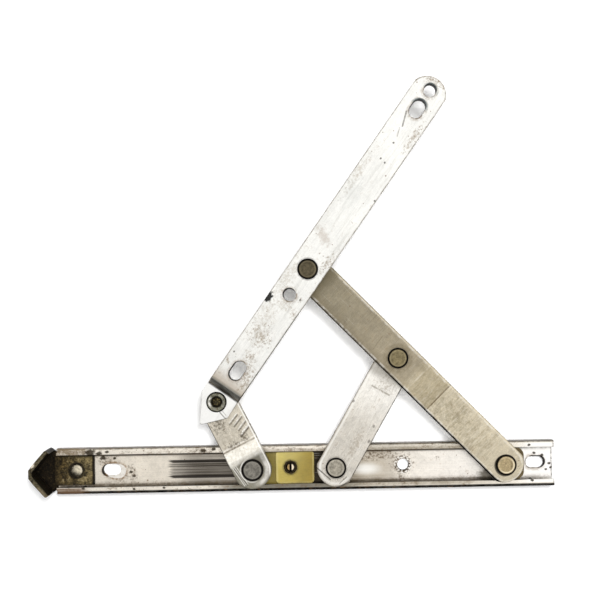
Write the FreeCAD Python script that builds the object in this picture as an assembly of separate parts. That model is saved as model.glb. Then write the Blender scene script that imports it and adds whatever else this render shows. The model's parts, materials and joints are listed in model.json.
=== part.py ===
# Friction stay hinge for a window sash, 8-inch size, left-opening, drawn fully open.
#
# Frame: X along the track towards the fixed pivot, Y across the track towards the arms,
# Z up from the face that is screwed to the window frame. The origin is the centre of that face.
# Lengths are millimetres and angles are degrees.
import FreeCAD
import Part
import math
import os

Vector = FreeCAD.Vector
UP = Vector(0, 0, 1)

# ---- linkage: pivot distances and the angle of the long arm when the stay is fully open
OPEN_ANGLE = 45.6
TRACK_PIVOT_X = 79.0
TRACK_PIVOT_TO_LINK = 60.0
MID_LINK_LENGTH = 49.6
SLIDER_PIVOT_DISTANCE = 32.8
CRANK_LENGTH = 30.2
LONG_ARM_LENGTH = TRACK_PIVOT_TO_LINK + MID_LINK_LENGTH
SASH_PIVOT_DISTANCE = SLIDER_PIVOT_DISTANCE + CRANK_LENGTH

# ---- track: a rolled C-section
TRACK_LENGTH = 197.0
TRACK_WIDTH = 18.0
TRACK_HEIGHT = 5.0
SHEET = 1.1
LIP_WIDTH = 2.7
TRACK_OUTER_ROUND = 0.9
LIP_EDGE_ROUND = 0.3
LIP_CORNER_CUT = 1.4
LIP_CORNER_DEPTH = 2.2
SLOT_LENGTH = 7.0
SLOT_WIDTH = 4.5
SLOT_LEFT_X = -77.0
SLOT_RIGHT_X = 91.5
CENTRE_HOLE_X = 39.0
CENTRE_HOLE_RADIUS = 2.25

# ---- flat steel arms
ARM_THICKNESS = 2.0
ARM_GAP = 0.4
ARM_EDGE_ROUND = 0.3
SASH_ARM_WIDTH = 14.2
LONG_ARM_WIDTH = 14.4
MID_LINK_WIDTH = 14.6
CRANK_WIDTH = 15.0
ARM_END_RADIUS = 7.8
ARM_END_OVERHANG = 6.6
FOOT_OVERHANG = 7.4
CRANK_TAB_OVERHANG = 4.6

# ---- levels of the undersides of the stacked arms
LEVEL_LOW = TRACK_HEIGHT + 0.6
LEVEL_MIDDLE = LEVEL_LOW + ARM_THICKNESS + ARM_GAP
LEVEL_HIGH = LEVEL_MIDDLE + ARM_THICKNESS + ARM_GAP
LEVEL_CRANK_FOOT = LEVEL_LOW + 1.8

# ---- bends that carry an arm from one level to the next, measured from a pivot
LONG_ARM_BEND = (38.0, 49.0)
CRANK_BEND = (5.9, 11.2)
SASH_TAB_BEND = (5.4, 7.8)
BEND_ROUND = 1.0

# ---- sash arm: pointed tab at one end, screw holes along it (distances from the crank pivot)
SASH_ARM_END = 152.5
SASH_TAB_TIP = 11.3
SASH_TAB_TIP_ASIDE = 0.4
SASH_TAB_TIP_ROUND = 0.9
SASH_TAB_SHOULDER_OUTER = 0.1
SASH_TAB_SHOULDER_INNER = -2.9
SASH_END_RADIUS = 7.6
SASH_HOLE_RADIUS = 2.35
SASH_HOLE_NEAR = 50.7
SASH_HOLE_FAR = 146.9
SASH_SLOT_NEAR = (15.0, 7.8, 4.9)
SASH_SLOT_FAR = (138.3, 7.4, 5.2)

# ---- pivots
SHANK_RADIUS = 2.2
RUNNING_GAP = 0.08
FACE_GAP = 0.05
HEAD_RADIUS = 3.65
HEAD_RECESS_RADIUS = 4.1
HEAD_DEPTH = 0.9
HEAD_CHAMFER = 0.25
FOOT_HEAD_RADIUS = 3.2
FOOT_HEAD_DEPTH = 0.6
WASHER_RADIUS = 4.6
CRANK_HEAD_RADIUS = 3.8
CRANK_HEAD_RECESS = 4.35
CRANK_FOOT_HEAD_LIFT = 0.2
TRACK_HEAD_LIFT = 0.6

# ---- open pivot between crank and sash arm: the tab hole leaves room for the linkage's play
TAB_HOLE_RADIUS = 3.25
SCREW_BODY_RADIUS = 2.5
SCREW_FLANGE_RADIUS = 4.0
SCREW_FLANGE_HEIGHT = 0.8
SCREW_SOCKET_ACROSS_FLATS = 3.8
SCREW_SOCKET_DEPTH = 2.0
SCREW_SOCKET_MOUTH = 2.5

# ---- slider, measured from the mid link's pivot towards the crank's pivot
SLIDER_WIDTH = 13.2
SLIDER_PLATE_BOTTOM = 1.3
SLIDER_PLATE_TOP = 2.2
SLIDER_END_MARGIN = 6.4
SLIDER_CORNER = 2.5
BLOCK_TOP_LOW = 3.1
BLOCK_TOP_HIGH = 3.65
BLOCK_START = 8.5
BLOCK_STEP = 23.8
BLOCK_CORNER = 1.8
BLOCK_EDGE_ROUND = 0.35
SCREW_OFFSET = 17.9
SCREW_RADIUS = 1.85
SCREW_TOP = 3.5
SCREW_SLOT_WIDTH = 0.6
SCREW_SLOT_DEPTH = 0.6
SCREW_WELL_RADIUS = 2.65
INSERT_TOP = 2.9
PAD_LENGTH = 12.0
PAD_WIDTH = 6.0
PAD_CLEARANCE = 0.15
SPACER_RADIUS = 4.6

# ---- block that lifts the fixed pivot above the lips of the track
PIVOT_BLOCK_START = 73.2
PIVOT_BLOCK_END = 86.8
PIVOT_BLOCK_WIDTH = 13.0
PIVOT_BLOCK_TOP = 3.6
PIVOT_BLOCK_CORNER = 3.5
PIVOT_BOSS_RADIUS = 5.6
TRACK_WASHER_THICKNESS = 0.3

# ---- end cap: V-shaped nose that catches the tab when the stay is shut
NOSE_HEIGHT = 10.6
NOSE_WALL = 1.2
NOSE_HALF_OUTLINE = [(-98.6, 7.2), (-101.7, 9.3), (-106.7, 3.6), (-108.2, 1.6)]
NOSE_FLOOR = 1.3
NOSE_ROUND = 0.7
TONGUE_END = -84.0
TONGUE_IN_NOSE = 1.0
TONGUE_HALF_WIDTH = 5.8
TONGUE_TOP = 2.6
TONGUE_CHAMFER = 0.8
CAP_RIVET_X = -91.0
CAP_RIVET_RADIUS = 2.3
CAP_RIVET_RECESS = 2.9
CAP_RIVET_RECESS_DEPTH = 0.4
CAP_RIVET_SHANK = 1.5
CAP_RIVET_DOME = 0.9
CAP_RIVET_FOOT = 2.2
CAP_RIVET_FOOT_DEPTH = 0.5

CUT_MARGIN = 1.0

# ---- tolerances for picking edges by where they lie and which way they run
ON_PLANE = 1e-6
FLAT_TILT = 1e-4
STEEP = 0.5


def polar(angle, length):
    """Vector in the XY plane from its direction and length."""
    return Vector(length * math.cos(math.radians(angle)), length * math.sin(math.radians(angle)), 0)


def direction(start, end):
    """Direction in degrees from one point to another."""
    return math.degrees(math.atan2(end.y - start.y, end.x - start.x))


def linkage():
    """Pivot positions when the stay is fully open."""
    track_pivot = Vector(TRACK_PIVOT_X, 0, 0)
    arm_direction = 180.0 - OPEN_ANGLE
    link_pivot = track_pivot + polar(arm_direction, TRACK_PIVOT_TO_LINK)
    sash_pivot = track_pivot + polar(arm_direction, LONG_ARM_LENGTH)
    slider_pivot = Vector(link_pivot.x - math.sqrt(MID_LINK_LENGTH**2 - link_pivot.y**2), 0, 0)
    crank_pivot = slider_pivot - Vector(SLIDER_PIVOT_DISTANCE, 0, 0)
    gap = sash_pivot - crank_pivot
    along = (CRANK_LENGTH**2 - SASH_PIVOT_DISTANCE**2 + gap.Length**2) / (2 * gap.Length)
    aside = math.sqrt(CRANK_LENGTH**2 - along**2)
    heading = direction(crank_pivot, sash_pivot)
    tab_pivot = crank_pivot + polar(heading, along) + polar(heading + 90.0, aside)
    return {
        "track": track_pivot,
        "link": link_pivot,
        "sash": sash_pivot,
        "slider": slider_pivot,
        "crank": crank_pivot,
        "tab": tab_pivot,
    }


PIVOT = linkage()


def solid_from_edges(edges, bottom, top):
    """Solid between two levels whose plan outline is the closed loop of edges."""
    face = Part.Face(Part.Wire(edges))
    face.translate(Vector(0, 0, bottom))
    return face.extrude(Vector(0, 0, top - bottom))


def polygon_solid(points, bottom, top):
    """Solid between two levels over a polygon of (x, y) points."""
    corners = [Vector(x, y, 0) for x, y in points]
    return solid_from_edges(Part.makePolygon(corners + corners[:1]).Edges, bottom, top)


def cylinder(centre, radius, bottom, top):
    """Upright cylinder between two levels."""
    return Part.makeCylinder(radius, top - bottom, Vector(centre.x, centre.y, bottom), UP)


def upright_edges(shape):
    """The edges that run up and down."""
    return [edge for edge in shape.Edges if abs(edge.tangentAt(edge.FirstParameter).z) > STEEP]


def rounded_box(x0, x1, width, bottom, top, corner):
    """Box centred on the X axis with rounded upright corners."""
    box = Part.makeBox(x1 - x0, width, top - bottom, Vector(x0, -width / 2, bottom))
    return box.makeFillet(corner, upright_edges(box))


def slot_cutter(distance, length, width, bottom, top):
    """Round-ended slot along local X, centred at a distance from the local origin."""
    half = (length - width) / 2
    radius = width / 2
    a = Vector(distance - half, radius, 0)
    b = Vector(distance + half, radius, 0)
    c = Vector(distance + half, -radius, 0)
    d = Vector(distance - half, -radius, 0)
    edges = [
        Part.LineSegment(a, b).toShape(),
        Part.Arc(b, Vector(distance + half + radius, 0, 0), c).toShape(),
        Part.LineSegment(c, d).toShape(),
        Part.Arc(d, Vector(distance - half - radius, 0, 0), a).toShape(),
    ]
    return solid_from_edges(edges, bottom, top)


def place(shape, pivot, heading):
    """Turn a shape drawn along local X to its heading and move it to its pivot."""
    placed = shape.copy()
    placed.rotate(Vector(0, 0, 0), UP, heading)
    placed.translate(pivot)
    return placed


def rounded_strip(length, width, start_overhang, end_overhang):
    """Edges of a strip along local X whose ends are arcs a little wider than the strip."""
    half = width / 2
    inset = ARM_END_RADIUS - math.sqrt(ARM_END_RADIUS**2 - half**2)
    start = -start_overhang
    end = length + end_overhang
    a = Vector(start + inset, half, 0)
    b = Vector(end - inset, half, 0)
    c = Vector(end - inset, -half, 0)
    d = Vector(start + inset, -half, 0)
    return [
        Part.LineSegment(a, b).toShape(),
        Part.Arc(b, Vector(end, 0, 0), c).toShape(),
        Part.LineSegment(c, d).toShape(),
        Part.Arc(d, Vector(start, 0, 0), a).toShape(),
    ]


def bent_sheet(start, end, bend, level_before, level_after):
    """Wide sheet along local X that changes level between the two ends of its bend."""
    rise = level_after - level_before
    slope = math.atan2(rise, bend[1] - bend[0])
    shift = ARM_THICKNESS * math.tan(slope / 2)
    reach = 2 * ARM_END_RADIUS
    lower = [(start, level_before), (bend[0], level_before), (bend[1], level_after), (end, level_after)]
    upper = [(end, level_after), (bend[1] - shift, level_after), (bend[0] - shift, level_before)]
    upper.append((start, level_before))
    points = [Vector(x, -reach, z) for x, z in lower]
    points += [Vector(x, -reach, z + ARM_THICKNESS) for x, z in upper]
    face = Part.Face(Part.makePolygon(points + points[:1]))
    sheet = face.extrude(Vector(0, 2 * reach, 0))
    bend_edges = []
    for edge in sheet.Edges:
        middle = edge.CenterOfMass
        if abs(middle.y) < ON_PLANE and start + ON_PLANE < middle.x < end - ON_PLANE:
            bend_edges.append(edge)
    return sheet.makeFillet(BEND_ROUND, bend_edges)


def round_rim(shape, radius):
    """Round the rim edges where the sheet's faces meet the walls that stand upright."""
    rim = []
    for edge in shape.Edges:
        faces = shape.ancestorsOfType(edge, Part.Face)
        if len(faces) != 2:
            continue
        middle = edge.valueAt((edge.FirstParameter + edge.LastParameter) / 2)
        tilt = [abs(normal_at(face, middle).z) for face in faces]
        if min(tilt) < FLAT_TILT and max(tilt) > STEEP:
            rim.append(edge)
    return shape.makeFillet(radius, rim)


def normal_at(face, point):
    """Normal of a face at the point on it nearest to the given one."""
    u, v = face.Surface.parameter(point)
    return face.normalAt(u, v)


def head_recess(centre, radius, bottom, top):
    """Cutter for the recess that a pivot head sits in."""
    return cylinder(centre, radius, bottom, top + CUT_MARGIN)


def pivot_hole(centre, radius, bottom, top):
    """Cutter for a hole right through an arm."""
    return cylinder(centre, radius, bottom - CUT_MARGIN, top + CUT_MARGIN)


def turned(centre, profile):
    """Solid of revolution about an upright axis from (radius, z) points."""
    points = [Vector(r, 0, z) for r, z in profile]
    face = Part.Face(Part.makePolygon(points + points[:1]))
    body = face.revolve(Vector(0, 0, 0), UP, 360)
    body.translate(centre)
    return body


def rivet(centre, top, head_radius, head_bottom, foot_bottom, foot_top, foot_radius):
    """Pivot rivet: chamfered flat head, shank and a flush foot."""
    profile = [
        (0, foot_bottom),
        (foot_radius, foot_bottom),
        (foot_radius, foot_top),
        (SHANK_RADIUS, foot_top),
        (SHANK_RADIUS, head_bottom),
        (head_radius, head_bottom),
        (head_radius, top - HEAD_CHAMFER),
        (head_radius - HEAD_CHAMFER, top),
        (0, top),
    ]
    return turned(centre, profile)


def washer(centre, bottom, top, radius=WASHER_RADIUS):
    """Flat ring around a pivot shank."""
    ring = cylinder(centre, radius, bottom, top)
    return ring.cut(pivot_hole(centre, SHANK_RADIUS + RUNNING_GAP, bottom, top))


def lengthwise_edges(track, aside):
    """The edges that run along the whole track at that distance from its centre line."""
    edges = []
    for edge in track.Edges:
        middle = edge.CenterOfMass
        if abs(middle.x) < ON_PLANE and abs(abs(middle.y) - aside) < ON_PLANE:
            edges.append(edge)
    return edges


def make_track():
    """C-section with rounded bends, two screw slots, a screw hole and holes for its rivets."""
    half = TRACK_WIDTH / 2
    outline = [
        (-half, 0),
        (half, 0),
        (half, TRACK_HEIGHT),
        (half - LIP_WIDTH, TRACK_HEIGHT),
        (half - LIP_WIDTH, TRACK_HEIGHT - SHEET),
        (half - SHEET, TRACK_HEIGHT - SHEET),
        (half - SHEET, SHEET),
        (-half + SHEET, SHEET),
        (-half + SHEET, TRACK_HEIGHT - SHEET),
        (-half + LIP_WIDTH, TRACK_HEIGHT - SHEET),
        (-half + LIP_WIDTH, TRACK_HEIGHT),
        (-half, TRACK_HEIGHT),
    ]
    points = [Vector(-TRACK_LENGTH / 2, y, z) for y, z in outline]
    section = Part.Face(Part.makePolygon(points + points[:1]))
    track = section.extrude(Vector(TRACK_LENGTH, 0, 0))
    track = track.makeFillet(TRACK_OUTER_ROUND, lengthwise_edges(track, half))
    track = track.makeFillet(LIP_EDGE_ROUND, lengthwise_edges(track, half - LIP_WIDTH))
    for side in (-1, 1):
        corner = [
            (-TRACK_LENGTH / 2 - CUT_MARGIN, side * (half + CUT_MARGIN)),
            (-TRACK_LENGTH / 2 + LIP_CORNER_DEPTH + CUT_MARGIN, side * (half + CUT_MARGIN)),
            (-TRACK_LENGTH / 2 - CUT_MARGIN, side * (half - LIP_CORNER_CUT - CUT_MARGIN)),
        ]
        track = track.cut(polygon_solid(corner, TRACK_HEIGHT - SHEET, TRACK_HEIGHT + CUT_MARGIN))
    for x in (SLOT_LEFT_X, SLOT_RIGHT_X):
        track = track.cut(slot_cutter(x, SLOT_LENGTH, SLOT_WIDTH, -CUT_MARGIN, SHEET + CUT_MARGIN))
    track = track.cut(pivot_hole(Vector(CENTRE_HOLE_X, 0, 0), CENTRE_HOLE_RADIUS, 0, SHEET))
    track = track.cut(pivot_hole(PIVOT["track"], SHANK_RADIUS, 0, SHEET))
    track = track.cut(cylinder(PIVOT["track"], FOOT_HEAD_RADIUS, -CUT_MARGIN, FOOT_HEAD_DEPTH))
    cap_rivet = Vector(CAP_RIVET_X, 0, 0)
    track = track.cut(pivot_hole(cap_rivet, CAP_RIVET_SHANK, 0, SHEET))
    return track.cut(cylinder(cap_rivet, CAP_RIVET_FOOT, -CUT_MARGIN, CAP_RIVET_FOOT_DEPTH))


def make_end_cap():
    """V-shaped nose with a tongue that lies in the track."""
    mirrored = [(x, -y) for x, y in reversed(NOSE_HALF_OUTLINE)]
    nose = polygon_solid(NOSE_HALF_OUTLINE + mirrored, 0, NOSE_HEIGHT)
    nose = nose.makeFillet(NOSE_ROUND, upright_edges(nose))
    nose_mouth, outer_shoulder, outer_cheek, outer_tip = NOSE_HALF_OUTLINE
    fall = outer_shoulder[1] - outer_cheek[1]
    slant = math.hypot(outer_cheek[0] - outer_shoulder[0], fall)
    run = NOSE_WALL * slant / fall
    mouth = nose_mouth[0] + CUT_MARGIN
    shoulder = outer_shoulder[0] + run / 2
    half_mouth = outer_shoulder[1] - NOSE_WALL
    apex = outer_tip[0] + NOSE_WALL
    half_apex = outer_tip[1] / 2
    pocket = [
        (mouth, half_mouth),
        (shoulder, half_mouth),
        (apex, half_apex),
        (apex, -half_apex),
        (shoulder, -half_mouth),
        (mouth, -half_mouth),
    ]
    nose = nose.cut(polygon_solid(pocket, NOSE_FLOOR, NOSE_HEIGHT + CUT_MARGIN))
    tongue_start = nose_mouth[0] - TONGUE_IN_NOSE
    tongue = Part.makeBox(TONGUE_END - tongue_start, 2 * TONGUE_HALF_WIDTH, TONGUE_TOP - SHEET,
                          Vector(tongue_start, -TONGUE_HALF_WIDTH, SHEET))
    end_edge = []
    for edge in tongue.Edges:
        middle = edge.CenterOfMass
        if abs(middle.x - TONGUE_END) < ON_PLANE and abs(middle.z - TONGUE_TOP) < ON_PLANE:
            end_edge.append(edge)
    tongue = tongue.makeChamfer(TONGUE_CHAMFER, end_edge)
    cap = nose.fuse(tongue).removeSplitter()
    centre = Vector(CAP_RIVET_X, 0, 0)
    cap = cap.cut(pivot_hole(centre, CAP_RIVET_SHANK, SHEET, TONGUE_TOP))
    return cap.cut(cylinder(centre, CAP_RIVET_RECESS, TONGUE_TOP - CAP_RIVET_RECESS_DEPTH,
                            TONGUE_TOP + CUT_MARGIN))


def make_end_cap_rivet():
    """Domed rivet that holds the tongue to the track floor."""
    seat = TONGUE_TOP - CAP_RIVET_RECESS_DEPTH
    crown = seat + CAP_RIVET_DOME
    dome_radius = (CAP_RIVET_RADIUS**2 + CAP_RIVET_DOME**2) / (2 * CAP_RIVET_DOME)
    centre = Vector(CAP_RIVET_X, 0, 0)
    ball = Part.makeSphere(dome_radius, Vector(CAP_RIVET_X, 0, crown - dome_radius))
    dome = ball.common(cylinder(centre, CAP_RIVET_RADIUS, seat, crown + CUT_MARGIN))
    shank = cylinder(centre, CAP_RIVET_SHANK, 0, seat)
    foot = cylinder(centre, CAP_RIVET_FOOT, 0, CAP_RIVET_FOOT_DEPTH)
    return dome.fuse(shank).fuse(foot).removeSplitter()


def make_pivot_block():
    """Block in the channel under the fixed pivot, with a boss that rises past the lips."""
    block = rounded_box(PIVOT_BLOCK_START, PIVOT_BLOCK_END, PIVOT_BLOCK_WIDTH, SHEET, PIVOT_BLOCK_TOP,
                        PIVOT_BLOCK_CORNER)
    boss_top = LEVEL_LOW - FACE_GAP - TRACK_WASHER_THICKNESS
    block = block.fuse(cylinder(PIVOT["track"], PIVOT_BOSS_RADIUS, PIVOT_BLOCK_TOP, boss_top))
    return block.removeSplitter().cut(pivot_hole(PIVOT["track"], SHANK_RADIUS, SHEET, boss_top))


def make_long_arm():
    """Arm from the fixed pivot to the sash pivot, stepped down at the fixed pivot."""
    plan = solid_from_edges(
        rounded_strip(LONG_ARM_LENGTH, LONG_ARM_WIDTH, ARM_END_OVERHANG, ARM_END_OVERHANG), 0, LEVEL_HIGH)
    sheet = bent_sheet(-2 * ARM_END_RADIUS, LONG_ARM_LENGTH + 2 * ARM_END_RADIUS, LONG_ARM_BEND, LEVEL_LOW,
                       LEVEL_MIDDLE)
    arm = round_rim(plan.common(sheet), ARM_EDGE_ROUND)
    arm = place(arm, PIVOT["track"], 180.0 - OPEN_ANGLE)
    low_top = LEVEL_LOW + ARM_THICKNESS
    middle_top = LEVEL_MIDDLE + ARM_THICKNESS
    arm = arm.cut(pivot_hole(PIVOT["track"], SHANK_RADIUS + RUNNING_GAP, LEVEL_LOW, low_top))
    arm = arm.cut(head_recess(PIVOT["track"], HEAD_RECESS_RADIUS, low_top - HEAD_DEPTH, low_top))
    arm = arm.cut(pivot_hole(PIVOT["link"], SHANK_RADIUS, LEVEL_MIDDLE, middle_top))
    arm = arm.cut(head_recess(PIVOT["link"], HEAD_RECESS_RADIUS, middle_top - HEAD_DEPTH, middle_top))
    arm = arm.cut(pivot_hole(PIVOT["sash"], SHANK_RADIUS, LEVEL_MIDDLE, middle_top))
    return arm.cut(cylinder(PIVOT["sash"], FOOT_HEAD_RADIUS, LEVEL_MIDDLE - CUT_MARGIN,
                            LEVEL_MIDDLE + FOOT_HEAD_DEPTH))


def make_mid_link():
    """Flat link from the slider to the middle of the long arm."""
    top = LEVEL_LOW + ARM_THICKNESS
    edges = rounded_strip(MID_LINK_LENGTH, MID_LINK_WIDTH, FOOT_OVERHANG, ARM_END_OVERHANG)
    link = round_rim(solid_from_edges(edges, LEVEL_LOW, top), ARM_EDGE_ROUND)
    link = place(link, PIVOT["slider"], direction(PIVOT["slider"], PIVOT["link"]))
    link = link.cut(pivot_hole(PIVOT["slider"], SHANK_RADIUS + RUNNING_GAP, LEVEL_LOW, top))
    link = link.cut(head_recess(PIVOT["slider"], HEAD_RECESS_RADIUS, top - HEAD_DEPTH, top))
    link = link.cut(pivot_hole(PIVOT["link"], SHANK_RADIUS + RUNNING_GAP, LEVEL_LOW, top))
    return link.cut(cylinder(PIVOT["link"], HEAD_RECESS_RADIUS, LEVEL_LOW - CUT_MARGIN,
                             LEVEL_LOW + HEAD_DEPTH))


def make_crank_arm():
    """Short arm from the slider to the tab of the sash arm, raised at the slider."""
    plan = solid_from_edges(
        rounded_strip(CRANK_LENGTH, CRANK_WIDTH, FOOT_OVERHANG, CRANK_TAB_OVERHANG), 0, LEVEL_HIGH)
    sheet = bent_sheet(-2 * ARM_END_RADIUS, CRANK_LENGTH + 2 * ARM_END_RADIUS, CRANK_BEND, LEVEL_CRANK_FOOT,
                       LEVEL_LOW)
    crank = round_rim(plan.common(sheet), ARM_EDGE_ROUND)
    crank = place(crank, PIVOT["crank"], direction(PIVOT["crank"], PIVOT["tab"]))
    foot_top = LEVEL_CRANK_FOOT + ARM_THICKNESS
    crank = crank.cut(pivot_hole(PIVOT["crank"], SHANK_RADIUS + RUNNING_GAP, LEVEL_CRANK_FOOT, foot_top))
    crank = crank.cut(head_recess(PIVOT["crank"], CRANK_HEAD_RECESS, foot_top - HEAD_DEPTH, foot_top))
    return crank.cut(pivot_hole(PIVOT["tab"], SHANK_RADIUS, LEVEL_LOW, LEVEL_LOW + ARM_THICKNESS))


def sash_outline():
    """Edges of the sash arm along local X: pointed tab, straight sides and a round far end."""
    half = SASH_ARM_WIDTH / 2
    inset = SASH_END_RADIUS - math.sqrt(SASH_END_RADIUS**2 - half**2)
    tip = Vector(-SASH_TAB_TIP, SASH_TAB_TIP_ASIDE, 0)
    outer = Vector(SASH_TAB_SHOULDER_OUTER, half, 0)
    inner = Vector(SASH_TAB_SHOULDER_INNER, -half, 0)
    far_outer = Vector(SASH_ARM_END - inset, half, 0)
    far_inner = Vector(SASH_ARM_END - inset, -half, 0)
    to_outer = (outer - tip).normalize()
    to_inner = (inner - tip).normalize()
    half_angle = to_outer.getAngle(to_inner) / 2
    back = SASH_TAB_TIP_ROUND / math.tan(half_angle)
    bisector = (to_outer + to_inner).normalize()
    nose_centre = tip + bisector * (SASH_TAB_TIP_ROUND / math.sin(half_angle))
    round_outer = tip + to_outer * back
    round_inner = tip + to_inner * back
    round_middle = nose_centre - bisector * SASH_TAB_TIP_ROUND
    return [
        Part.LineSegment(round_outer, outer).toShape(),
        Part.LineSegment(outer, far_outer).toShape(),
        Part.Arc(far_outer, Vector(SASH_ARM_END, 0, 0), far_inner).toShape(),
        Part.LineSegment(far_inner, inner).toShape(),
        Part.LineSegment(inner, round_inner).toShape(),
        Part.Arc(round_inner, round_middle, round_outer).toShape(),
    ]


def make_sash_arm():
    """Arm that is screwed to the sash, with its tab stepped down over the crank."""
    plan = solid_from_edges(sash_outline(), 0, LEVEL_HIGH + 2 * ARM_THICKNESS)
    sheet = bent_sheet(-2 * SASH_TAB_TIP, SASH_ARM_END + SASH_TAB_TIP, SASH_TAB_BEND, LEVEL_MIDDLE,
                       LEVEL_HIGH)
    arm = round_rim(plan.common(sheet), ARM_EDGE_ROUND)
    for distance, length, width in (SASH_SLOT_NEAR, SASH_SLOT_FAR):
        arm = arm.cut(slot_cutter(distance, length, width, LEVEL_MIDDLE, LEVEL_HIGH + 2 * ARM_THICKNESS))
    top = LEVEL_HIGH + ARM_THICKNESS
    for distance in (SASH_HOLE_NEAR, SASH_HOLE_FAR):
        arm = arm.cut(pivot_hole(Vector(distance, 0, 0), SASH_HOLE_RADIUS, LEVEL_HIGH, top))
    arm = place(arm, PIVOT["tab"], direction(PIVOT["tab"], PIVOT["sash"]))
    arm = arm.cut(pivot_hole(PIVOT["sash"], SHANK_RADIUS + RUNNING_GAP, LEVEL_HIGH, top))
    arm = arm.cut(head_recess(PIVOT["sash"], HEAD_RECESS_RADIUS, top - HEAD_DEPTH, top))
    return arm.cut(pivot_hole(PIVOT["tab"], TAB_HOLE_RADIUS, LEVEL_MIDDLE, LEVEL_MIDDLE + ARM_THICKNESS))


def slider_x(offset):
    """Position along the track of a point measured from the mid link's pivot."""
    return PIVOT["slider"].x - offset


def make_slider_plate():
    """Steel plate that runs on the track floor, with a window for the friction pad."""
    plate = rounded_box(slider_x(SLIDER_PIVOT_DISTANCE + SLIDER_END_MARGIN), slider_x(-SLIDER_END_MARGIN),
                        SLIDER_WIDTH, SLIDER_PLATE_BOTTOM, SLIDER_PLATE_TOP, SLIDER_CORNER)
    half_length = PAD_LENGTH / 2 + PAD_CLEARANCE
    half_width = PAD_WIDTH / 2 + PAD_CLEARANCE
    window = Part.makeBox(2 * half_length, 2 * half_width, 2 * SLIDER_PLATE_TOP,
                          Vector(slider_x(SCREW_OFFSET) - half_length, -half_width, 0))
    plate = plate.cut(window)
    for name in ("slider", "crank"):
        plate = plate.cut(pivot_hole(PIVOT[name], SHANK_RADIUS, SLIDER_PLATE_BOTTOM, SLIDER_PLATE_TOP))
    return plate


def make_slider_block():
    """Nylon shoe on the plate: a low part under the crank and a raised part around the screw."""
    left = slider_x(SLIDER_PIVOT_DISTANCE + SLIDER_END_MARGIN)
    step = slider_x(BLOCK_STEP)
    right = slider_x(BLOCK_START)
    raised = rounded_box(step, right, SLIDER_WIDTH, SLIDER_PLATE_TOP, BLOCK_TOP_HIGH, BLOCK_CORNER)
    raised = round_rim(raised, BLOCK_EDGE_ROUND)
    low = rounded_box(left, step + 2 * BLOCK_CORNER, SLIDER_WIDTH, SLIDER_PLATE_TOP, BLOCK_TOP_LOW,
                      BLOCK_CORNER)
    block = raised.fuse(low).removeSplitter()
    screw = Vector(slider_x(SCREW_OFFSET), 0, 0)
    block = block.cut(pivot_hole(screw, SCREW_WELL_RADIUS, SLIDER_PLATE_TOP, BLOCK_TOP_HIGH))
    return block.cut(pivot_hole(PIVOT["crank"], SHANK_RADIUS, SLIDER_PLATE_TOP, BLOCK_TOP_LOW))


def make_friction_pad():
    """Pad that the screw presses on the track floor."""
    x = slider_x(SCREW_OFFSET)
    return rounded_box(x - PAD_LENGTH / 2, x + PAD_LENGTH / 2, PAD_WIDTH, SHEET + FACE_GAP,
                       SLIDER_PLATE_TOP - FACE_GAP, BLOCK_CORNER)


def make_screw_insert():
    """Threaded ring pressed into the well of the nylon block."""
    centre = Vector(slider_x(SCREW_OFFSET), 0, 0)
    ring = cylinder(centre, SCREW_WELL_RADIUS, SLIDER_PLATE_TOP, INSERT_TOP)
    return ring.cut(pivot_hole(centre, SCREW_RADIUS + RUNNING_GAP, SLIDER_PLATE_TOP, INSERT_TOP))


def make_friction_screw():
    """Slotted adjusting screw with a slightly domed end."""
    centre = Vector(slider_x(SCREW_OFFSET), 0, 0)
    shoulder = SCREW_TOP - HEAD_CHAMFER
    profile = [
        (0, SLIDER_PLATE_TOP),
        (SCREW_RADIUS, SLIDER_PLATE_TOP),
        (SCREW_RADIUS, shoulder),
        (SCREW_RADIUS - 2 * HEAD_CHAMFER, SCREW_TOP),
        (0, SCREW_TOP),
    ]
    screw = turned(centre, profile)
    corner = Vector(centre.x - SCREW_SLOT_WIDTH / 2, -SCREW_WELL_RADIUS, SCREW_TOP - SCREW_SLOT_DEPTH)
    slot = Part.makeBox(SCREW_SLOT_WIDTH, 2 * SCREW_WELL_RADIUS, SCREW_SLOT_DEPTH + CUT_MARGIN, corner)
    return screw.cut(slot)


def make_spacer(name, bottom, level):
    """Bush on the slider that carries an arm at its level."""
    top = level - FACE_GAP
    ring = cylinder(PIVOT[name], SPACER_RADIUS, bottom, top)
    return ring.cut(pivot_hole(PIVOT[name], SHANK_RADIUS, bottom, top))


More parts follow.
